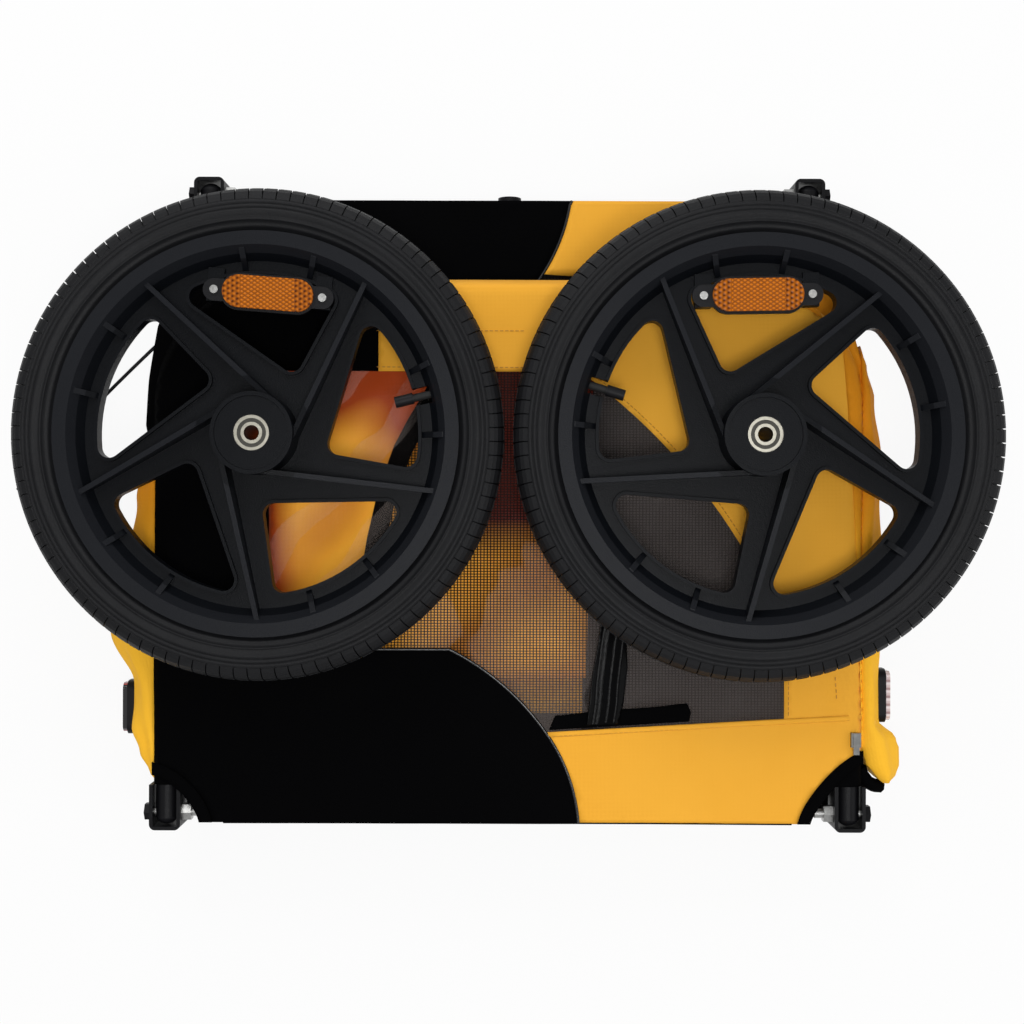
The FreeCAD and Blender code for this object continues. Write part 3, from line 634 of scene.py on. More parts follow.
class Side:
    """One cloth side: its arch, and the outlines of its cloth pieces seen from above."""

    def __init__(self, leg, tube_level, foot, flip):
        self.leg = leg
        self.half = leg + panel_out
        self.level = tube_level
        self.flip = flip
        self.foot = hinge_near - panel_foot
        self.hem = hinge_near - foot
        self.top = hinge_near + arch_rise + panel_out

    def spot(self, across, up):
        """A place given as shares of the panel's half width and of its rise."""
        return (self.half * across, self.foot + panel_rise * up)

    def block_edge(self):
        """The swept edge between the colours, from the hem up, with a knee where its two arcs meet."""
        foot_gap = 0.002
        knee = self.spot(seam_knee, 0.167)
        low = arc_points(self.spot(0.20, 0.0), self.spot(0.162, 0.105), knee, steps=24)
        high = arc_points(knee, self.spot(0.010, 0.245), self.spot(-0.165, 0.326), steps=16)
        start = (low[0][0], self.hem)
        return [start] + [spot for spot in low + high[1:] if spot[1] > self.hem + foot_gap]

    def brow_edge(self):
        """The curved upper front edge of the window, from the top down."""
        return arc_points(self.spot(0.202, window_top), self.spot(0.44, 0.7115),
                          self.spot(window_front, 0.3615), steps=20)

    def corner(self, end):
        """Rounded upper corner and the cut-out round the hinge at one end, from the foot upwards."""
        rise = self.cut_out(end, inset=0.0)
        bend_steps = 18
        bend = [(end * (self.half - bend_outer + bend_outer * math.cos(turn)),
                 self.top - bend_outer + bend_outer * math.sin(turn))
                for turn in (math.pi / 2 * step / bend_steps for step in range(bend_steps + 1))]
        return rise + bend

    def cut_out(self, end, inset):
        """Edge of the cut-out round the hinge, from the hem up to the leg, flatter than an arc."""
        along, up, dip = (0.0546, 0.0615, 0.16) if end > 0 else (0.050, 0.050, 0.10)
        steps = 16
        edge = []
        for step in range(steps + 1):
            turn = math.pi / 2 * step / steps
            radius = (along + (up - along) * step / steps) * (1 - dip * math.sin(2 * turn)) - inset
            edge.append((end * (self.half - radius * math.cos(turn)), self.hem + radius * math.sin(turn)))
        return edge

    def sill(self, x):
        """Level of the window's lower edge, which climbs a little towards the front."""
        return self.spot(0, sill_up)[1] + (x - self.half * seam_knee) * sill_climb

    def sill_end(self):
        """Front end of the window's lower edge."""
        front = self.half * window_front
        return (front, self.sill(front))

    def sill_start(self):
        """Where the window's sill meets the seam: how many seam points lie below it, and the place."""
        edge = self.block_edge()
        crossing = next(index for index, (x, y) in enumerate(edge) if y > self.sill(x))
        (ax, ay), (bx, by) = edge[crossing - 1], edge[crossing]
        below, over = ay - self.sill(ax), by - self.sill(bx)
        share = below / (below - over)
        return crossing, (ax + (bx - ax) * share, ay + (by - ay) * share)

    def yellow(self):
        """Outline of the yellow cloth, in front of the seam and over the window."""
        edge = self.block_edge()
        crossing, join = self.sill_start()
        loop = edge[:crossing][::-1] + self.corner(1)
        return loop + [(self.half * colour_split, self.top), self.spot(colour_split, window_top),
                       *self.brow_edge(), self.sill_end(), join]

    def black(self):
        """Outline of the black cloth, behind the seam and the window."""
        loop = self.seam() + [self.spot(window_rear, window_top), self.spot(colour_split, window_top),
                              (self.half * colour_split, self.top)]
        return loop + self.corner(-1)[::-1]

    def seam(self):
        """The swept seam, drawn on to the rear edge of the window."""
        edge = self.block_edge()
        return edge + [(self.half * window_rear, edge[-1][1])]

    def window(self):
        """Outline of the whole window."""
        return self.window_from([self.spot(window_rear, window_top), self.seam()[-1]])

    def window_from(self, rear):
        """Window outline whose rear edge runs down a line of points."""
        edge = self.block_edge()
        crossing, join = self.sill_start()
        return [join, self.sill_end()] + self.brow_edge()[::-1] + rear + edge[crossing:][::-1]

    def reach(self, x, y):
        """How far a spot lies outside the arch's centre line (inside is negative)."""
        bend_x = self.leg - bend_radius
        bend_y = self.top - bend_outer
        if y > bend_y and abs(x) > bend_x:
            return math.hypot(abs(x) - bend_x, y - bend_y) - bend_radius
        return max(abs(x) - self.leg, y - (self.top - panel_out))

    def height(self, x, y, sag=0.0022):
        """Cloth level: rolled over the tube outside its centre line, slack inside it."""
        out = self.reach(x, y)
        roll, sag_run, ripple_run = 0.0113, 0.05, 0.03
        broad_ripple, fine_ripple = 0.0011, 0.0005
        if out > 0:
            return self.level + math.sqrt(max(roll * roll - out * out, 0.0))
        slack = sag * (1 - math.exp(out / sag_run))
        ripple = noise.noise((x * 9, y * 9, self.level * 40)) * broad_ripple
        ripple += noise.noise((x * 26, y * 26, 3)) * fine_ripple
        return self.level + roll - slack + ripple * (1 - math.exp(out / ripple_run))

    def placed(self, mesh):
        """Moves cloth drawn about the arch to its place on the trailer, mirrored for the far side."""
        if self.flip:
            mesh.transform(Matrix.Scale(-1, 4, (0, 1, 0)))
            mesh.flip_normals()
        mesh.transform(Matrix.Translation((mid_x, 0, 0)))
        return mesh


weave_pitch = 0.0011


def woven(name, light, dark, roughness, sheen, shine):
    """Plain-weave coated cloth: fine threads, soft creases and a little colour drift."""
    finish = Finish(name, light, roughness, shine, sheen_weight=sheen, sheen_roughness=0.5)
    x, y, z = finish.axes()
    threads = (x.wave(weave_pitch) + y.wave(weave_pitch)) * 0.5 + z.wave(weave_pitch) * 0.2
    crease = finish.clouds(11, 3)
    drift = finish.clouds(5, 2)
    finish.feed("Base Color", finish.blend(drift * 0.5 + crease * 0.3 + threads * 0.12, light, dark))
    finish.feed("Roughness", threads * 0.1 + (roughness - 0.06))
    finish.bump(threads * 0.06 + crease, distance=0.006, strength=0.5)
    return finish


yellow_cloth = woven("yellow_cloth", (0.90, 0.455, 0.040), (0.80, 0.35, 0.018), roughness=0.62, sheen=0.05,
                     shine=0.2)
black_cloth = woven("black_cloth", (0.0008, 0.0008, 0.0010), (0.0020, 0.0020, 0.0023), roughness=0.9,
                    sheen=0.0, shine=0.02)
near = Side(leg=0.2865, tube_level=0.076, foot=0.007, flip=False)
far = Side(leg=0.259, tube_level=0.038, foot=-0.0055, flip=True)
cloth_wall, thin_wall = 0.0011, 0.0006
for side, label, body in ((near, "near", "near_side"), (far, "far", "far_side")):
    for colour, finish in (("yellow", yellow_cloth), ("black", black_cloth)):
        flat = cut_cloth(label + "_" + colour, getattr(side, colour)(), pitch=0.006, height=side.height)
        size = area(flat)
        cloth = side.placed(thickened("cloth", flat, cloth_wall))
        sheet = piece(label + "_side_" + colour, cloth, finish, body, colour + "_cloth",
                      label + "_panel_" + colour)
        cut_from(sheet, size, label + "_arch")


def near_trim(name, mesh, finish, slot="black_cloth"):
    return piece(name, near.placed(mesh), finish, "near_side", slot)


# Window: a fine dark knitted net in the front part, taped along its rear edge, and a clear soft film over all.
# Its pale colour, let through by its alpha, is a painted reflection: patches over the net, an even veil in
# front and slanted streaks behind it.
def net_cloth():
    finish = Finish("dark_net", (0.008, 0.007, 0.007), roughness=0.7, shine=0.05)
    x, y, z = finish.axes()
    column_pitch, row_pitch, thread_share = 0.00277, 0.0023, 0.25
    holes = x.wave(column_pitch).least(y.wave(row_pitch)).above(thread_share)
    finish.feed("Alpha", 1 - holes)
    drift = finish.clouds(40, 3)
    finish.feed("Base Color", finish.blend(drift, (0.004, 0.003, 0.003), (0.014, 0.011, 0.011)))
    return finish


def clear_film():
    """Soft film whose alpha paints a pale reflection: patches in the middle, an even veil in front, slanted
    streaks behind.
    """
    # The pale pinkish colour is the colour of the painted reflection.
    finish = Finish("clear_film", (0.74, 0.62, 0.56), roughness=0.22, shine=0.10)
    x, y, z = finish.axes()
    front_start, rear_start, reflection_top, streak_pitch = mid_x + 0.06, mid_x - 0.07, -0.044, 0.050
    front = ((x - front_start) * 25).clip()
    rear = ((rear_start - x) * 40).clip()
    lower = ((reflection_top - y + finish.clouds(24, 1) * 0.02) * 150).clip()
    crease = finish.clouds(13, 2, 0.4)
    # Painted reflection patches, shown through the alpha where the creased film would mirror the lamp.
    reflection_patches = ((crease - 0.43) * 60).clip() * lower
    slant = x * 0.78 - y * 0.62 + finish.clouds(10, 2) * 0.045
    reflection_streaks = ((slant.wave(streak_pitch) - 0.62) * 22).clip()
    scuff = finish.clouds(220, 3)
    middle = (1 - front) * (1 - rear)
    # The whole painted reflection: patches in the middle, an even veil in front, streaks behind.
    painted_reflection = middle * reflection_patches * (scuff * 0.03 + 0.045) + front * 0.042 + rear * reflection_streaks * 0.085
    finish.feed("Alpha", painted_reflection + 0.006)
    finish.feed("Roughness", scuff * 0.10 + 0.15)
    finish.bump(crease, distance=0.012, strength=0.5)
    return finish


window_sag = 0.003
net_drop = 0.0016


def across_folds(x, y):
    """Distance across the slanted folds, which lean at about 40 degrees."""
    return x * 0.766 - y * 0.643


def film_level(x, y):
    """The film lies on the net in front, and buckles into slanted folds behind it."""
    rear_start, rear_run, fold_pitch, fold_rise, dent_rise = -0.075, 0.035, 0.036, 0.0014, 0.0012
    rear = min(1.0, max(0.0, (rear_start - x) / rear_run))
    across = across_folds(x, y) / fold_pitch + noise.noise((x * 9, y * 9, 1)) * 0.35
    buckle = fold_rise * rear * (1 + math.sin(math.tau * across))
    dent = dent_rise * (1 - rear) * (0.5 + noise.noise((x * 24, y * 24, 5)))
    return near.height(x, y, window_sag) + buckle + max(0.0, dent)


net = net_cloth()
net_rear = [(-0.0529, near.spot(0, window_top)[1]), (-0.0646, 0.0846), (-0.0779, 0.0621), (-0.0887, 0.0412),
            (-0.0971, 0.0179), (-0.1038, -0.0047), (-0.1104, -0.0339), (-0.1154, -0.0630), (-0.1188, -0.0922),
            (-0.1213, near.seam()[-1][1])]
for side, label, body, outline in ((near, "near", "near_side", near.window_from(net_rear)),
                                   (far, "far", "far_side", far.window())):
    flat = cut_cloth(label + "_net", outline, pitch=0.008,
                     height=lambda x, y: side.height(x, y, window_sag) - net_drop)
    size = area(flat)
    sheet = piece(label + "_net_cloth", side.placed(flat), net, body, "net", label + "_window_net")
    cut_from(sheet, size, label + "_side_yellow")
flat = cut_cloth("film", near.window(), pitch=0.005, height=film_level)
size = area(flat)
film = piece("near_film_sheet", near.placed(flat), clear_film(), "near_side", "clear_film", "near_window_film")
cut_from(film, size, "near_net_cloth")


# Trim of the panels: glossy black piping in the swept seams and black binding round the hinge cut-outs.
# The near panel also has lines of yellow thread, a tape on its net, a folded sill, cuffs and gussets.
def drawn_line(name, spots):
    curve = bpy.data.curves.new(name, "CURVE")
    curve.dimensions = "3D"
    line = curve.splines.new("POLY")
    line.points.add(len(spots) - 1)
    for point, spot in zip(line.points, spots):
        point.co = (*spot, 1)
    return linked(name, curve)


def tube_along(name, spots, radius):
    """Round trim that follows a line of points."""
    thing = drawn_line(name, spots)
    thing.data.bevel_depth = radius
    thing.data.bevel_resolution = 2
    return smooth(settled(thing))


def raised(side, spots, lift):
    return [(x, y, side.height(x, y) + lift) for x, y in spots]


def stitch_tree():
    """Short threads at an even pitch along a line."""
    tree, given, result = node_group("thread_line", (
        ("Pitch", "NodeSocketFloat"), ("Length", "NodeSocketFloat"), ("Radius", "NodeSocketFloat"),
        ("Finish", "NodeSocketMaterial")))
    even, thread, heading, turn, place, real, dress = fresh(
        tree, "GeometryNodeResampleCurve", "GeometryNodeMeshCylinder", "GeometryNodeInputTangent",
        "FunctionNodeAlignRotationToVector", "GeometryNodeInstanceOnPoints", "GeometryNodeRealizeInstances",
        "GeometryNodeSetMaterial")
    even.mode = "LENGTH"
    thread.inputs["Vertices"].default_value = 5
    turn.axis = "Z"
    for start, end in (
            (given.outputs["Geometry"], even.inputs["Curve"]), (given.outputs["Pitch"], even.inputs["Length"]),
            (given.outputs["Length"], thread.inputs["Depth"]),
            (given.outputs["Radius"], thread.inputs["Radius"]),
            (heading.outputs[0], turn.inputs["Vector"]), (even.outputs[0], place.inputs["Points"]),
            (thread.outputs["Mesh"], place.inputs["Instance"]), (turn.outputs[0], place.inputs["Rotation"]),
            (place.outputs[0], real.inputs[0]), (real.outputs[0], dress.inputs["Geometry"]),
            (given.outputs["Finish"], dress.inputs["Material"]), (dress.outputs[0], result.inputs[0])):
        tree.links.new(start, end)
    return tree


thread_line = stitch_tree()


def stitches(spots, finish):
    thing = drawn_line("thread", spots)
    run_group(thing, thread_line, Pitch=0.0042, Length=0.0028, Radius=0.00038, Finish=finish.material)
    return settled(thing)


def sewing_thread():
    finish = Finish("yellow_thread", (0.50, 0.22, 0.02), roughness=0.6)
    twist = finish.clouds(2500, 1)
    finish.feed("Base Color", finish.blend(twist, (0.58, 0.26, 0.02), (0.36, 0.14, 0.01)))
    return finish


piping_radius, band_width, band_level = 0.0013, 0.0105, 0.0116
piping_black = moulded_black("piping_vinyl", (0.004, 0.004, 0.0045), grain=600, depth=0.0001, roughness=0.2,
                             shine=0.6)
for side, label, body in ((near, "near", "near_side"), (far, "far", "far_side")):
    piping = tube_along("piping", raised(side, side.seam(), lift=0.0002), piping_radius)
    piece(label + "_seam_piping", side.placed(piping), piping_black, body, "black_cloth")
    bands = []
    for end in (-1, 1):
        loop = side.cut_out(end, inset=-0.0002) + side.cut_out(end, inset=band_width)[::-1]
        bands.append(stiff_cloth("band", loop, pitch=0.004, height=lambda x, y: side.level + band_level,
                                 wall=0.0012))
    piece(label + "_foot_binding", side.placed(joined("binding", bands)), black_cloth, body, "black_cloth")
thread = sewing_thread()
margin, brow_margin, collar_rise = 0.0035, 0.003, 0.034
split_x, top_y = near.spot(colour_split, window_top)
front_x, front_foot = near.half * window_front + margin, near.sill(0.235) + 0.004
sill_line = [(x, near.sill(x) - margin) for x in (0.040 + 0.020 * step for step in range(13))]
front_line = [(front_x, front_foot + 0.012 * step) for step in range(6)]
brow_line = [(x + brow_margin, y + brow_margin) for x, y in near.brow_edge()]
top_line = [(split_x + 0.03 * step, top_y + margin) for step in range(6)]
collar_line = [(split_x + 0.03 * step, top_y + collar_rise) for step in range(5)]
tack_line = [(0.2735, -0.149), (0.2740, -0.157), (0.2745, -0.164)]
lines = (sill_line, front_line, brow_line, top_line, collar_line, tack_line)
sewn = joined("stitches", [stitches(raised(near, line, lift=0.0008), thread) for line in lines])
near_trim("near_hem_stitches", sewn, thread, "yellow_cloth")


def ribbon(name, side, spots, wide, lift):
    """Tape of even width laid along a line of points, slightly crowned across."""
    reaches, crown = (-0.5, -0.25, 0.0, 0.25, 0.5), 0.0006
    columns = len(reaches)
    points = []
    for index, (x, y) in enumerate(spots):
        before, after = spots[max(index - 1, 0)], spots[min(index + 1, len(spots) - 1)]
        run = Vector((after[0] - before[0], after[1] - before[1])).normalized()
        for reach in reaches:
            px, py = x - run.y * wide * reach, y + run.x * wide * reach
            points.append((px, py, side.height(px, py, window_sag) + lift + crown * (1 - (2 * reach) ** 2)))
    starts = [row * columns + step for row in range(len(spots) - 1) for step in range(columns - 1)]
    faces = [(start, start + 1, start + columns + 1, start + columns) for start in starts]
    return thickened(name, smooth(outward_sheet(meshed(name, points, faces))), thin_wall)


def at_foot(end, spots):
    """Points given by their distances in from the panel's end and up from its hem."""
    return [(end * (near.half - inward), near.hem + up) for inward, up in spots]


tape_steps = 4
tape = [(ax + (bx - ax) * step / tape_steps, ay + (by - ay) * step / tape_steps)
        for (ax, ay), (bx, by) in zip(net_rear, net_rear[1:]) for step in range(tape_steps)]
near_trim("near_net_tape", ribbon("tape", near, tape, wide=0.016, lift=-0.0008), black_cloth)
fold = [(x, near.sill(x) - 0.0022) for x in (0.034 + 0.0138 * step for step in range(20))]
near_trim("near_sill_fold", ribbon("fold", near, fold, wide=0.0044, lift=0.0012), yellow_cloth,
          "yellow_cloth")
gusset_drop, cuff_drop = 0.011, 0.0009
gussets = []
cuffs = []
for end in (-1, 1):
    inner_edge = at_foot(end, ((0.006, 0.0325), (0.0245, 0.0320), (0.0245, 0.006), (0.043, 0.0)))
    loop = near.cut_out(end, inset=-0.0005) + inner_edge
    gussets.append(stiff_cloth("gusset", loop, pitch=0.004, height=lambda x, y: near.level - gusset_drop,
                               wall=cloth_wall))
    loop = at_foot(end, ((0.0004, 0.031), (0.0004, 0.060), (0.0300, 0.046), (0.0300, 0.026), (0.0230, 0.031)))
    cuffs.append(stiff_cloth("cuff", loop, pitch=0.003, height=lambda x, y: near.height(x, y) - cuff_drop,
                             wall=0.0008))
near_trim("near_foot_gussets", joined("gussets", gussets), black_cloth)
near_trim("near_foot_cuffs", joined("cuffs", cuffs), black_cloth)
foot_line = [(near.half * share / 20, near.hem) for share in range(-16, 17)]
foot_hem = tube_along("hem", raised(near, foot_line, lift=-0.0004), radius=0.0011)
near_trim("near_foot_hem", foot_hem, black_cloth)


# Black flap along the lower edge of the window: a strip of black cloth with upright pleats of shiny vinyl.
# It is sewn in with the hem, and stands a little above the film.
flap_lift, pleat_lift, pleat_rise = 0.0022, 0.0026, 0.0034


def pleat_level(x, y):
    """Three ridges, each with its place, width and share of the height, that lean a little forwards."""
    pleat_x, pleat_y, forward, wander = 0.084, -0.130, 0.10, 0.004
    lean = x - pleat_x - (y - pleat_y) * forward + noise.noise((y * 24, 2, 0)) * wander
    ridges = ((-0.0120, 0.0030, 1.0), (-0.0030, 0.0055, 0.55), (0.0105, 0.0040, 0.85))
    fold = sum(tall * math.exp(-((lean - place) / wide) ** 2) for place, wide, tall in ridges)
    return near.height(x, y, window_sag) + pleat_lift + pleat_rise * fold


pleat = [(0.066, -0.188), (0.092, -0.187), (0.0965, -0.170), (0.1000, -0.140), (0.0985, -0.110),
         (0.096, -0.080), (0.080, -0.080), (0.076, -0.115), (0.070, -0.150)]
flap = [(0.0345, -0.1925), (0.0397, -0.1806), (0.0764, -0.1765), (0.1223, -0.1731), (0.1498, -0.1698),
        (0.1531, -0.1773), (0.1515, -0.1850), (0.0900, -0.1890)]
pleat_vinyl = moulded_black("pleat_vinyl", (0.0012, 0.0012, 0.0014), grain=600, depth=0.0002, roughness=0.2,
                            shine=0.05)
pleats = stiff_cloth("pleat", pleat, pitch=0.0016, height=pleat_level, wall=thin_wall)
near_trim("near_window_pleats", pleats, pleat_vinyl)
strip = stiff_cloth("flap", flap, pitch=0.004, height=lambda x, y: near.height(x, y, window_sag) + flap_lift,
                    wall=thin_wall)
near_trim("near_window_flap", strip, black_cloth)


# Roof cloth: orange-yellow coated cloth, folded loosely between the two sides.
# It shows through the window as soft lit folds, whose shade, the wheels' shadow and a faint glow are painted
# into its colour.
roof_low, roof_high = corners("roof_bundle")


def roof_height(x, y):
    """Slanted folds that die out at the edges of the cloth, which sinks towards the far edge."""
    middle_level = roof_high.z - 0.0125
    fold_pitch, fold_rise, crumple_rise = 0.082, 0.0050, 0.0065
    edge_run, edge_drop = 0.03, 0.006
    sink_start, sink_run, sink_depth = -0.005, 0.07, 0.008
    across = across_folds(x - mid_x, y) / fold_pitch
    fold = math.sin(math.tau * across + noise.noise((x * 7, y * 7, 2)) * 1.5) * fold_rise
    fold += noise.noise((x * 12, y * 15, 7)) * crumple_rise
    fade = min(1.0, min(x - roof_low.x, roof_high.x - x, y - roof_low.y, roof_high.y - y) / edge_run)
    sink = sink_depth * min(1.0, max(0.0, (y - sink_start) / sink_run))
    return middle_level + fold * fade - (1 - fade) * edge_drop - sink


def lit_cloth(level, depth):
    """Orange cloth with painted shade, red in the hollows of its folds, near its rear and upper edges and in
    the wheels' shadow in the throat between them, and a faint painted glow.
    """
    finish = Finish("orange_cloth", (1.0, 0.50, 0.05), roughness=0.5, shine=0.25, sheen_weight=0.1,
                    sheen_roughness=0.5, emission_strength=0.16)
    x, y, z = finish.axes()
    threads = (x.wave(weave_pitch) + y.wave(weave_pitch)) * 0.5
    rear_x, upper_y, throat_x, throat_y = mid_x - 0.178, 0.040, mid_x - 0.070, -0.050
    rear_shade = (rear_x - x).most(0.0) * 26
    upper_shade = (y - upper_y).most(0.0) * 15
    # Painted light and shade: high in the folds the cloth is lit orange, low in them and near the rear and
    # upper edges it is painted a shaded red.
    rise = ((z - level) * (1 / depth) + finish.clouds(18, 2) * 0.35 - rear_shade - upper_shade).clip()
    # Painted shadow of the wheels in the throat between them.
    throat_shadow = ((x - throat_x) * 70).clip() * ((y - throat_y) * 30).clip()
    shaded_orange = finish.blend(rise, (0.36, 0.045, 0.002), (0.96, 0.42, 0.030))
    shaded_orange = finish.blend(throat_shadow, shaded_orange, (0.13, 0.009, 0.001))
    finish.feed("Base Color", shaded_orange)
    # The emission paints a faint glow, as if light came through the cloth.
    finish.feed("Emission Color", shaded_orange)
    finish.feed("Roughness", threads * 0.1 + 0.42)
    finish.bump(threads, distance=0.0004, strength=0.5)
    return finish


lower_inset, upper_inset = 0.011, 0.004
loop = [(roof_low.x, roof_low.y), (roof_high.x - lower_inset, roof_low.y),
        (roof_high.x - upper_inset, roof_high.y), (roof_low.x, roof_high.y)]
flat = cut_cloth("roof", loop, pitch=0.006, height=roof_height)
size = area(flat)
orange_cloth = lit_cloth(level=roof_high.z - 0.024, depth=0.017)
roof = piece("roof_cloth", thickened("roof", flat, cloth_wall), orange_cloth, "near_side", "yellow_cloth",
             "roof_bundle")
cut_from(roof, size, "far_side_black")


# Dark grey front part of the roof cloth: it goes on from the orange part and lies flat under the window net.
# It is a thin lining, laid loosely, so that it waves a little.
lining_level, lining_wave, lining_wall = 0.0575, 0.0022, 0.0008


def dark_level(x, y):
    return lining_level + noise.noise((x * 14, y * 10, 4)) * lining_wave


front_loop = [(mid_x + x, y) for x, y in ((0.064, -0.190), (0.100, -0.196), (0.242, -0.196), (0.242, 0.085),
                                          (0.150, 0.112), (0.064, 0.112))]
flat = cut_cloth("roof_front", front_loop, pitch=0.008, height=dark_level)
size = area(flat)
grey_lining = woven("grey_lining", (0.060, 0.057, 0.059), (0.100, 0.095, 0.098), roughness=0.7, sheen=0.0,
                    shine=0.1)
lining = thickened("roof_front", flat, lining_wall)
sheet = piece("roof_front_cloth", lining, grey_lining, "near_side", "black_cloth")
cut_from(sheet, size, "far_side_yellow")


# End curtains: the yellow front and rear walls, bunched between the near arch and the floor.
# Each hangs from the near arch leg and is hemmed in black along its lower edge.
def curtain_mesh(name, node, folds, round_off, seed, hang):
    """Bunched wall: a half-round bundle along the leg, with lengthwise folds and a rounded lower end."""
    low, high = corners(node)
    low.y -= hang
    end = 1 if low.x + high.x > 2 * mid_x else -1
    inner = low.x if end > 0 else high.x
    depth = high.x - low.x
    rows, columns = 90, 40
    pleats, plain_share, pleat_share, dent_share = 5, 0.93, 0.06, 0.10
    points = []
    for row in range(rows + 1):
        along = row / rows
        y = low.y + (high.y - low.y) * along
        start = depth * round_off(along)
        out = depth * folds(along) - start
        pinch = min(1.0, along * 10, (1 - along) * 10) ** 0.5
        for column in range(columns):
            turn = math.tau * column / columns
            wide = math.cos(turn)
            tall = math.sin(turn)
            crumple = plain_share + pleat_share * math.sin(turn * pleats + math.sin(along * 9 + seed) * 1.5)
            crumple += dent_share * noise.noise((along * 9, wide * 1.4, tall * 1.4 + seed))
            x = inner + end * (start + max(0.0, 0.25 + 0.75 * wide) * out * min(crumple, 1.0))
            z = (low.z + high.z) / 2 + (high.z - low.z) / 2 * tall * min(crumple, 1.0) * (0.6 + 0.4 * pinch)
            points.append((x, y, z))
    faces = []
    for row in range(rows):
        for column in range(columns):
            follow = (column + 1) % columns
            faces.append((row * columns + column, row * columns + follow, (row + 1) * columns + follow,
                          (row + 1) * columns + column))
    faces.append(tuple(range(columns)))
    faces.append(tuple(rows * columns + column for column in range(columns)))
    return smooth(outward(meshed(name, points, faces)))


def through(shares):
    """Smooth reading of a short table of (place, fullness)."""
    def fullness(along):
        for (before, less), (after, more) in zip(shares, shares[1:]):
            if along <= after:
                step = (along - before) / (after - before)
                step = step * step * (3 - 2 * step)
                return less + (more - less) * step
        return shares[-1][1]
    return fullness


front_fullness = through(((0, 1.75), (0.014, 2.05), (0.035, 2.2), (0.07, 2.15), (0.10, 1.95), (0.14, 1.12),
                          (0.3, 1.15), (0.5, 1.25), (0.75, 1.2), (0.88, 0.85), (0.95, 0.45), (1, 0.1)))
front_round = through(((0, 1.2), (0.02, 0.75), (0.05, 0.3), (0.09, 0.0), (1, 0.0)))
rear_round = through(((0, 0.0), (1, 0.0)))
rear_fullness = through(((0, 0.06), (0.03, 0.20), (0.088, 0.41), (0.163, 0.60), (0.289, 0.55), (0.433, 1.05),
                         (0.615, 0.74), (0.827, 0.5), (1, 0.25)))


def curtain_yellow():
    """Woven yellow with painted shade, deepening to orange along the curtain away from its lower end."""
    finish = woven("curtain_cloth", (1.0, 0.55, 0.042), (1.0, 0.50, 0.026), roughness=0.62, sheen=0.0,
                   shine=0.06)
    x, y, z = finish.axes()
    shade_start, shade_slope = -0.10, 9
    shaded_end = ((y - shade_start) * shade_slope).clip()
    yellow = Value(finish.tree, finish.shader.inputs["Base Color"].links[0].from_socket)
    # Painted shade: the deep orange stands in for the shade inside the bunched curtain.
    finish.feed("Base Color", finish.blend(shaded_end, yellow, (0.74, 0.27, 0.012)))
    return finish


curtain_cloth = curtain_yellow()
for node, name, fullness, round_off, seed, hang in (
        ("front_curtain", "front_wall_cloth", front_fullness, front_round, 1.0, 0.008),
        ("rear_curtain", "rear_wall_cloth", rear_fullness, rear_round, 4.0, 0.021)):
    wall = curtain_mesh(name, node, fullness, round_off, seed, hang)
    size = area(wall)
    sheet = piece(name, wall, curtain_cloth, "near_side", "yellow_cloth", node)


# Sewn edge of the front curtain: it laps over the near panel along the arch leg and round the upper corner.
# It is thin and lies close, so that the zip slider passes over it.
seam_line = [(0.2974, -0.209), (0.2949, -0.138), (0.2916, -0.059), (0.2874, 0.014), (0.2828, 0.080),
             (0.2791, 0.125), (0.2620, 0.152), (0.2400, 0.168)]
lap_line = [(0.2400, 0.185), (0.2620, 0.179), (0.2790, 0.163), (0.2910, 0.138), (0.3000, 0.108),
            (0.3045, 0.078), (0.3060, 0.000), (0.3060, -0.190)]
lap_lift, lap_wall = 0.00087, 0.0005
lap = cut_cloth("front_lap", seam_line + lap_line, pitch=0.004,
                height=lambda x, y: near.height(x, y) + lap_lift)
size = area(lap)
sheet = near_trim("front_wall_edge", thickened("lap", lap, lap_wall), curtain_cloth, "yellow_cloth")
cut_from(sheet, size, "near_arch")


# Black hem at the lower end of each curtain, a folded band of the panel's black cloth.
# The front one is thick, where the bunched cloth ends, and the rear one is thin.
front_hem = [(0.2985, -0.2257, 0.068), (0.3005, -0.2323, 0.067), (0.3057, -0.2390, 0.065),
             (0.3124, -0.2424, 0.062), (0.3183, -0.2432, 0.059)]
rear_hem = [(-0.2945, -0.2395, 0.066), (-0.2985, -0.2375, 0.064), (-0.3015, -0.2335, 0.062)]
hems = [tube_along("hem", [(mid_x + x, y, z) for x, y, z in spots], radius)
        for spots, radius in ((front_hem, 0.0060), (rear_hem, 0.0024))]
piece("curtain_hems", outward(joined("hems", hems)), black_cloth, "near_side", "black_cloth")


# Zip slider on the front edge of the near panel: nickel-plated, dulled by handling.
# Its solid is kept as it is, and slides along that edge over the lap of the curtain.
nickel = bare_metal("dull_nickel", grain=260, dark=(0.08, 0.08, 0.08), light=(0.24, 0.24, 0.23), polish=0.28)
coat(nickel, "zip_slider")


# Upper part of the rear wall: black cloth that shows behind the near arch above the yellow bundle.
# It hangs from the arch, and falls away outside the tube.
wall_edge = [(-0.262, 0.030), (-0.300, 0.030), (-0.3065, 0.062), (-0.3040, 0.100), (-0.2980, 0.146),
             (-0.2890, 0.168), (-0.2700, 0.181), (-0.2350, 0.185), (-0.2200, 0.150), (-0.2450, 0.125)]


def wall_level(x, y):
    wall_lift, fall, wave = 0.006, 0.5, 0.002
    beyond = max(0.0, near.reach(x, y))
    return near.level + wall_lift - beyond * fall + noise.noise((x * 30, y * 16, 3)) * wave


upper = stiff_cloth("rear_upper", wall_edge, pitch=0.004, height=wall_level, wall=cloth_wall)
size = area(upper) / 2
sheet = near_trim("rear_wall_upper", upper, black_cloth)
cut_from(sheet, size, "near_arch")


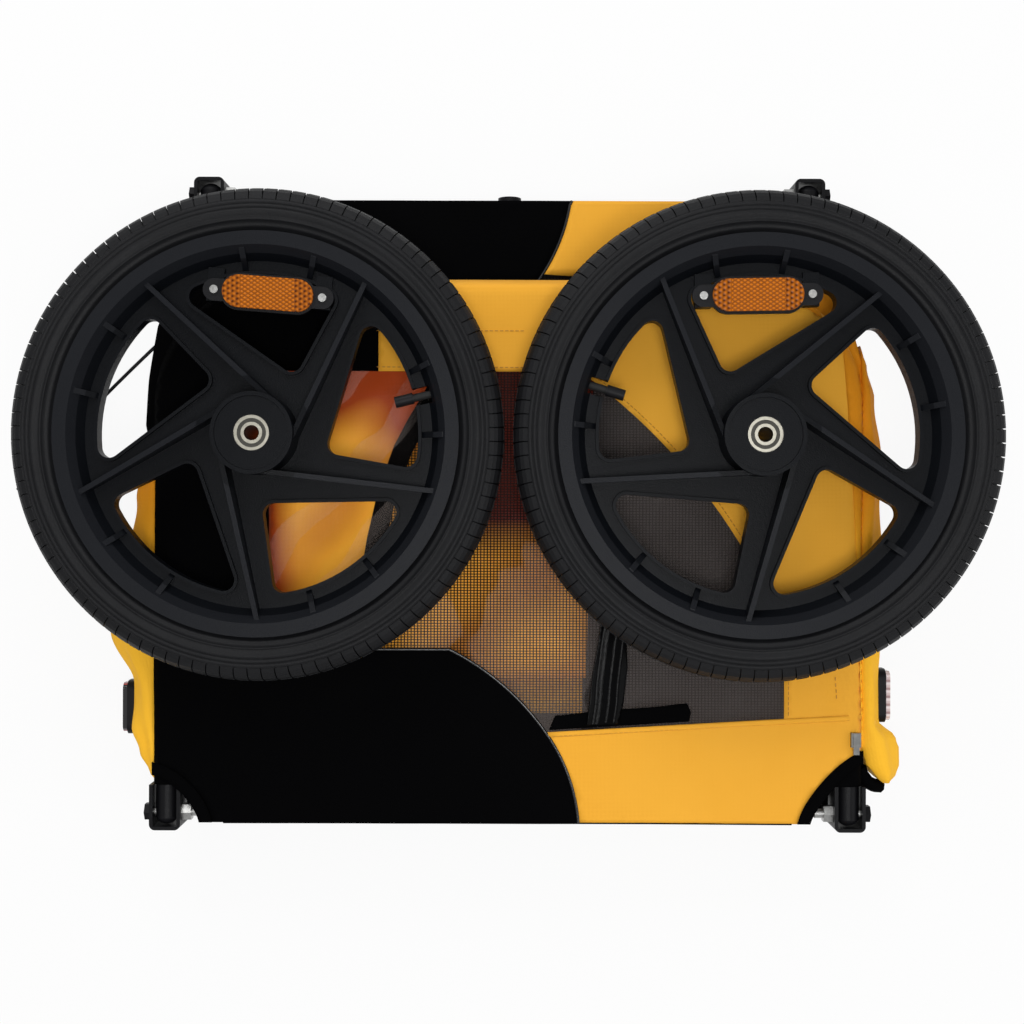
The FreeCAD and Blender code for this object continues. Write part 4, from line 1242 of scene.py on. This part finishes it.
# Floor, light and camera: a pale studio floor, soft light from above, camera straight over the pack.
# The floor is white to the camera and in reflections, and still takes the pack's shadow.
floor_half, floor_level = 6, -0.0005
floor_corners = [(floor_half * x, floor_half * y, floor_level)
                 for x, y in ((-1, -1), (1, -1), (1, 1), (-1, 1))]
floor_mesh = meshed("floor", floor_corners, [(0, 1, 2, 3)])
floor = linked("studio_floor", floor_mesh)
paper = Finish("floor_paper", (0.8, 0.8, 0.8), roughness=1.0, shine=0.0)
seen = paper.add("ShaderNodeLightPath", output="Is Camera Ray")
for ray in ("Is Glossy Ray", "Is Transmission Ray"):
    seen = seen.most(paper.add("ShaderNodeLightPath", output=ray))
matt = Value(paper.tree, paper.shader.outputs[0])
glow = paper.add("ShaderNodeEmission", sockets={"Color": (1, 1, 1, 1)})
both = paper.add("ShaderNodeMixShader", sockets={0: seen * 0.9, 1: matt, 2: glow})
connect(paper.tree, paper.tree.nodes["Material Output"].inputs["Surface"], both)
floor_mesh.materials.append(paper.material)

world = bpy.data.worlds.new("studio")
bpy.context.scene.world = world
world.use_nodes = True
world.node_tree.nodes["Background"].inputs["Color"].default_value = (1, 1, 1, 1)
world.node_tree.nodes["Background"].inputs["Strength"].default_value = 0.55
aim = Vector((0, 0, 0.08))
for name, spot, size, power in (("key", (-0.4, 1.7, 1.3), 1.2, 17),
                                ("overhead", (0.10, -0.25, 2.0), 0.55, 14),
                                ("fill", (1.6, -0.3, 1.1), 1.0, 4)):
    lamp = bpy.data.lights.new(name, "AREA")
    lamp.size = size
    lamp.energy = power
    holder = linked(name, lamp)
    holder.location = spot
    holder.rotation_euler = (aim - Vector(spot)).to_track_quat("-Z", "Y").to_euler()

view = bpy.data.cameras.new("photo_camera")
view.lens = 51.05
view.sensor_width = 36
holder = linked("photo_camera", view)
holder.location = (mid_x + 0.003, -0.0105, 1.3)
holder.rotation_euler = (0, 0, math.radians(0.2))
bpy.context.scene.camera = holder
bpy.context.scene.view_settings.view_transform = "Standard"
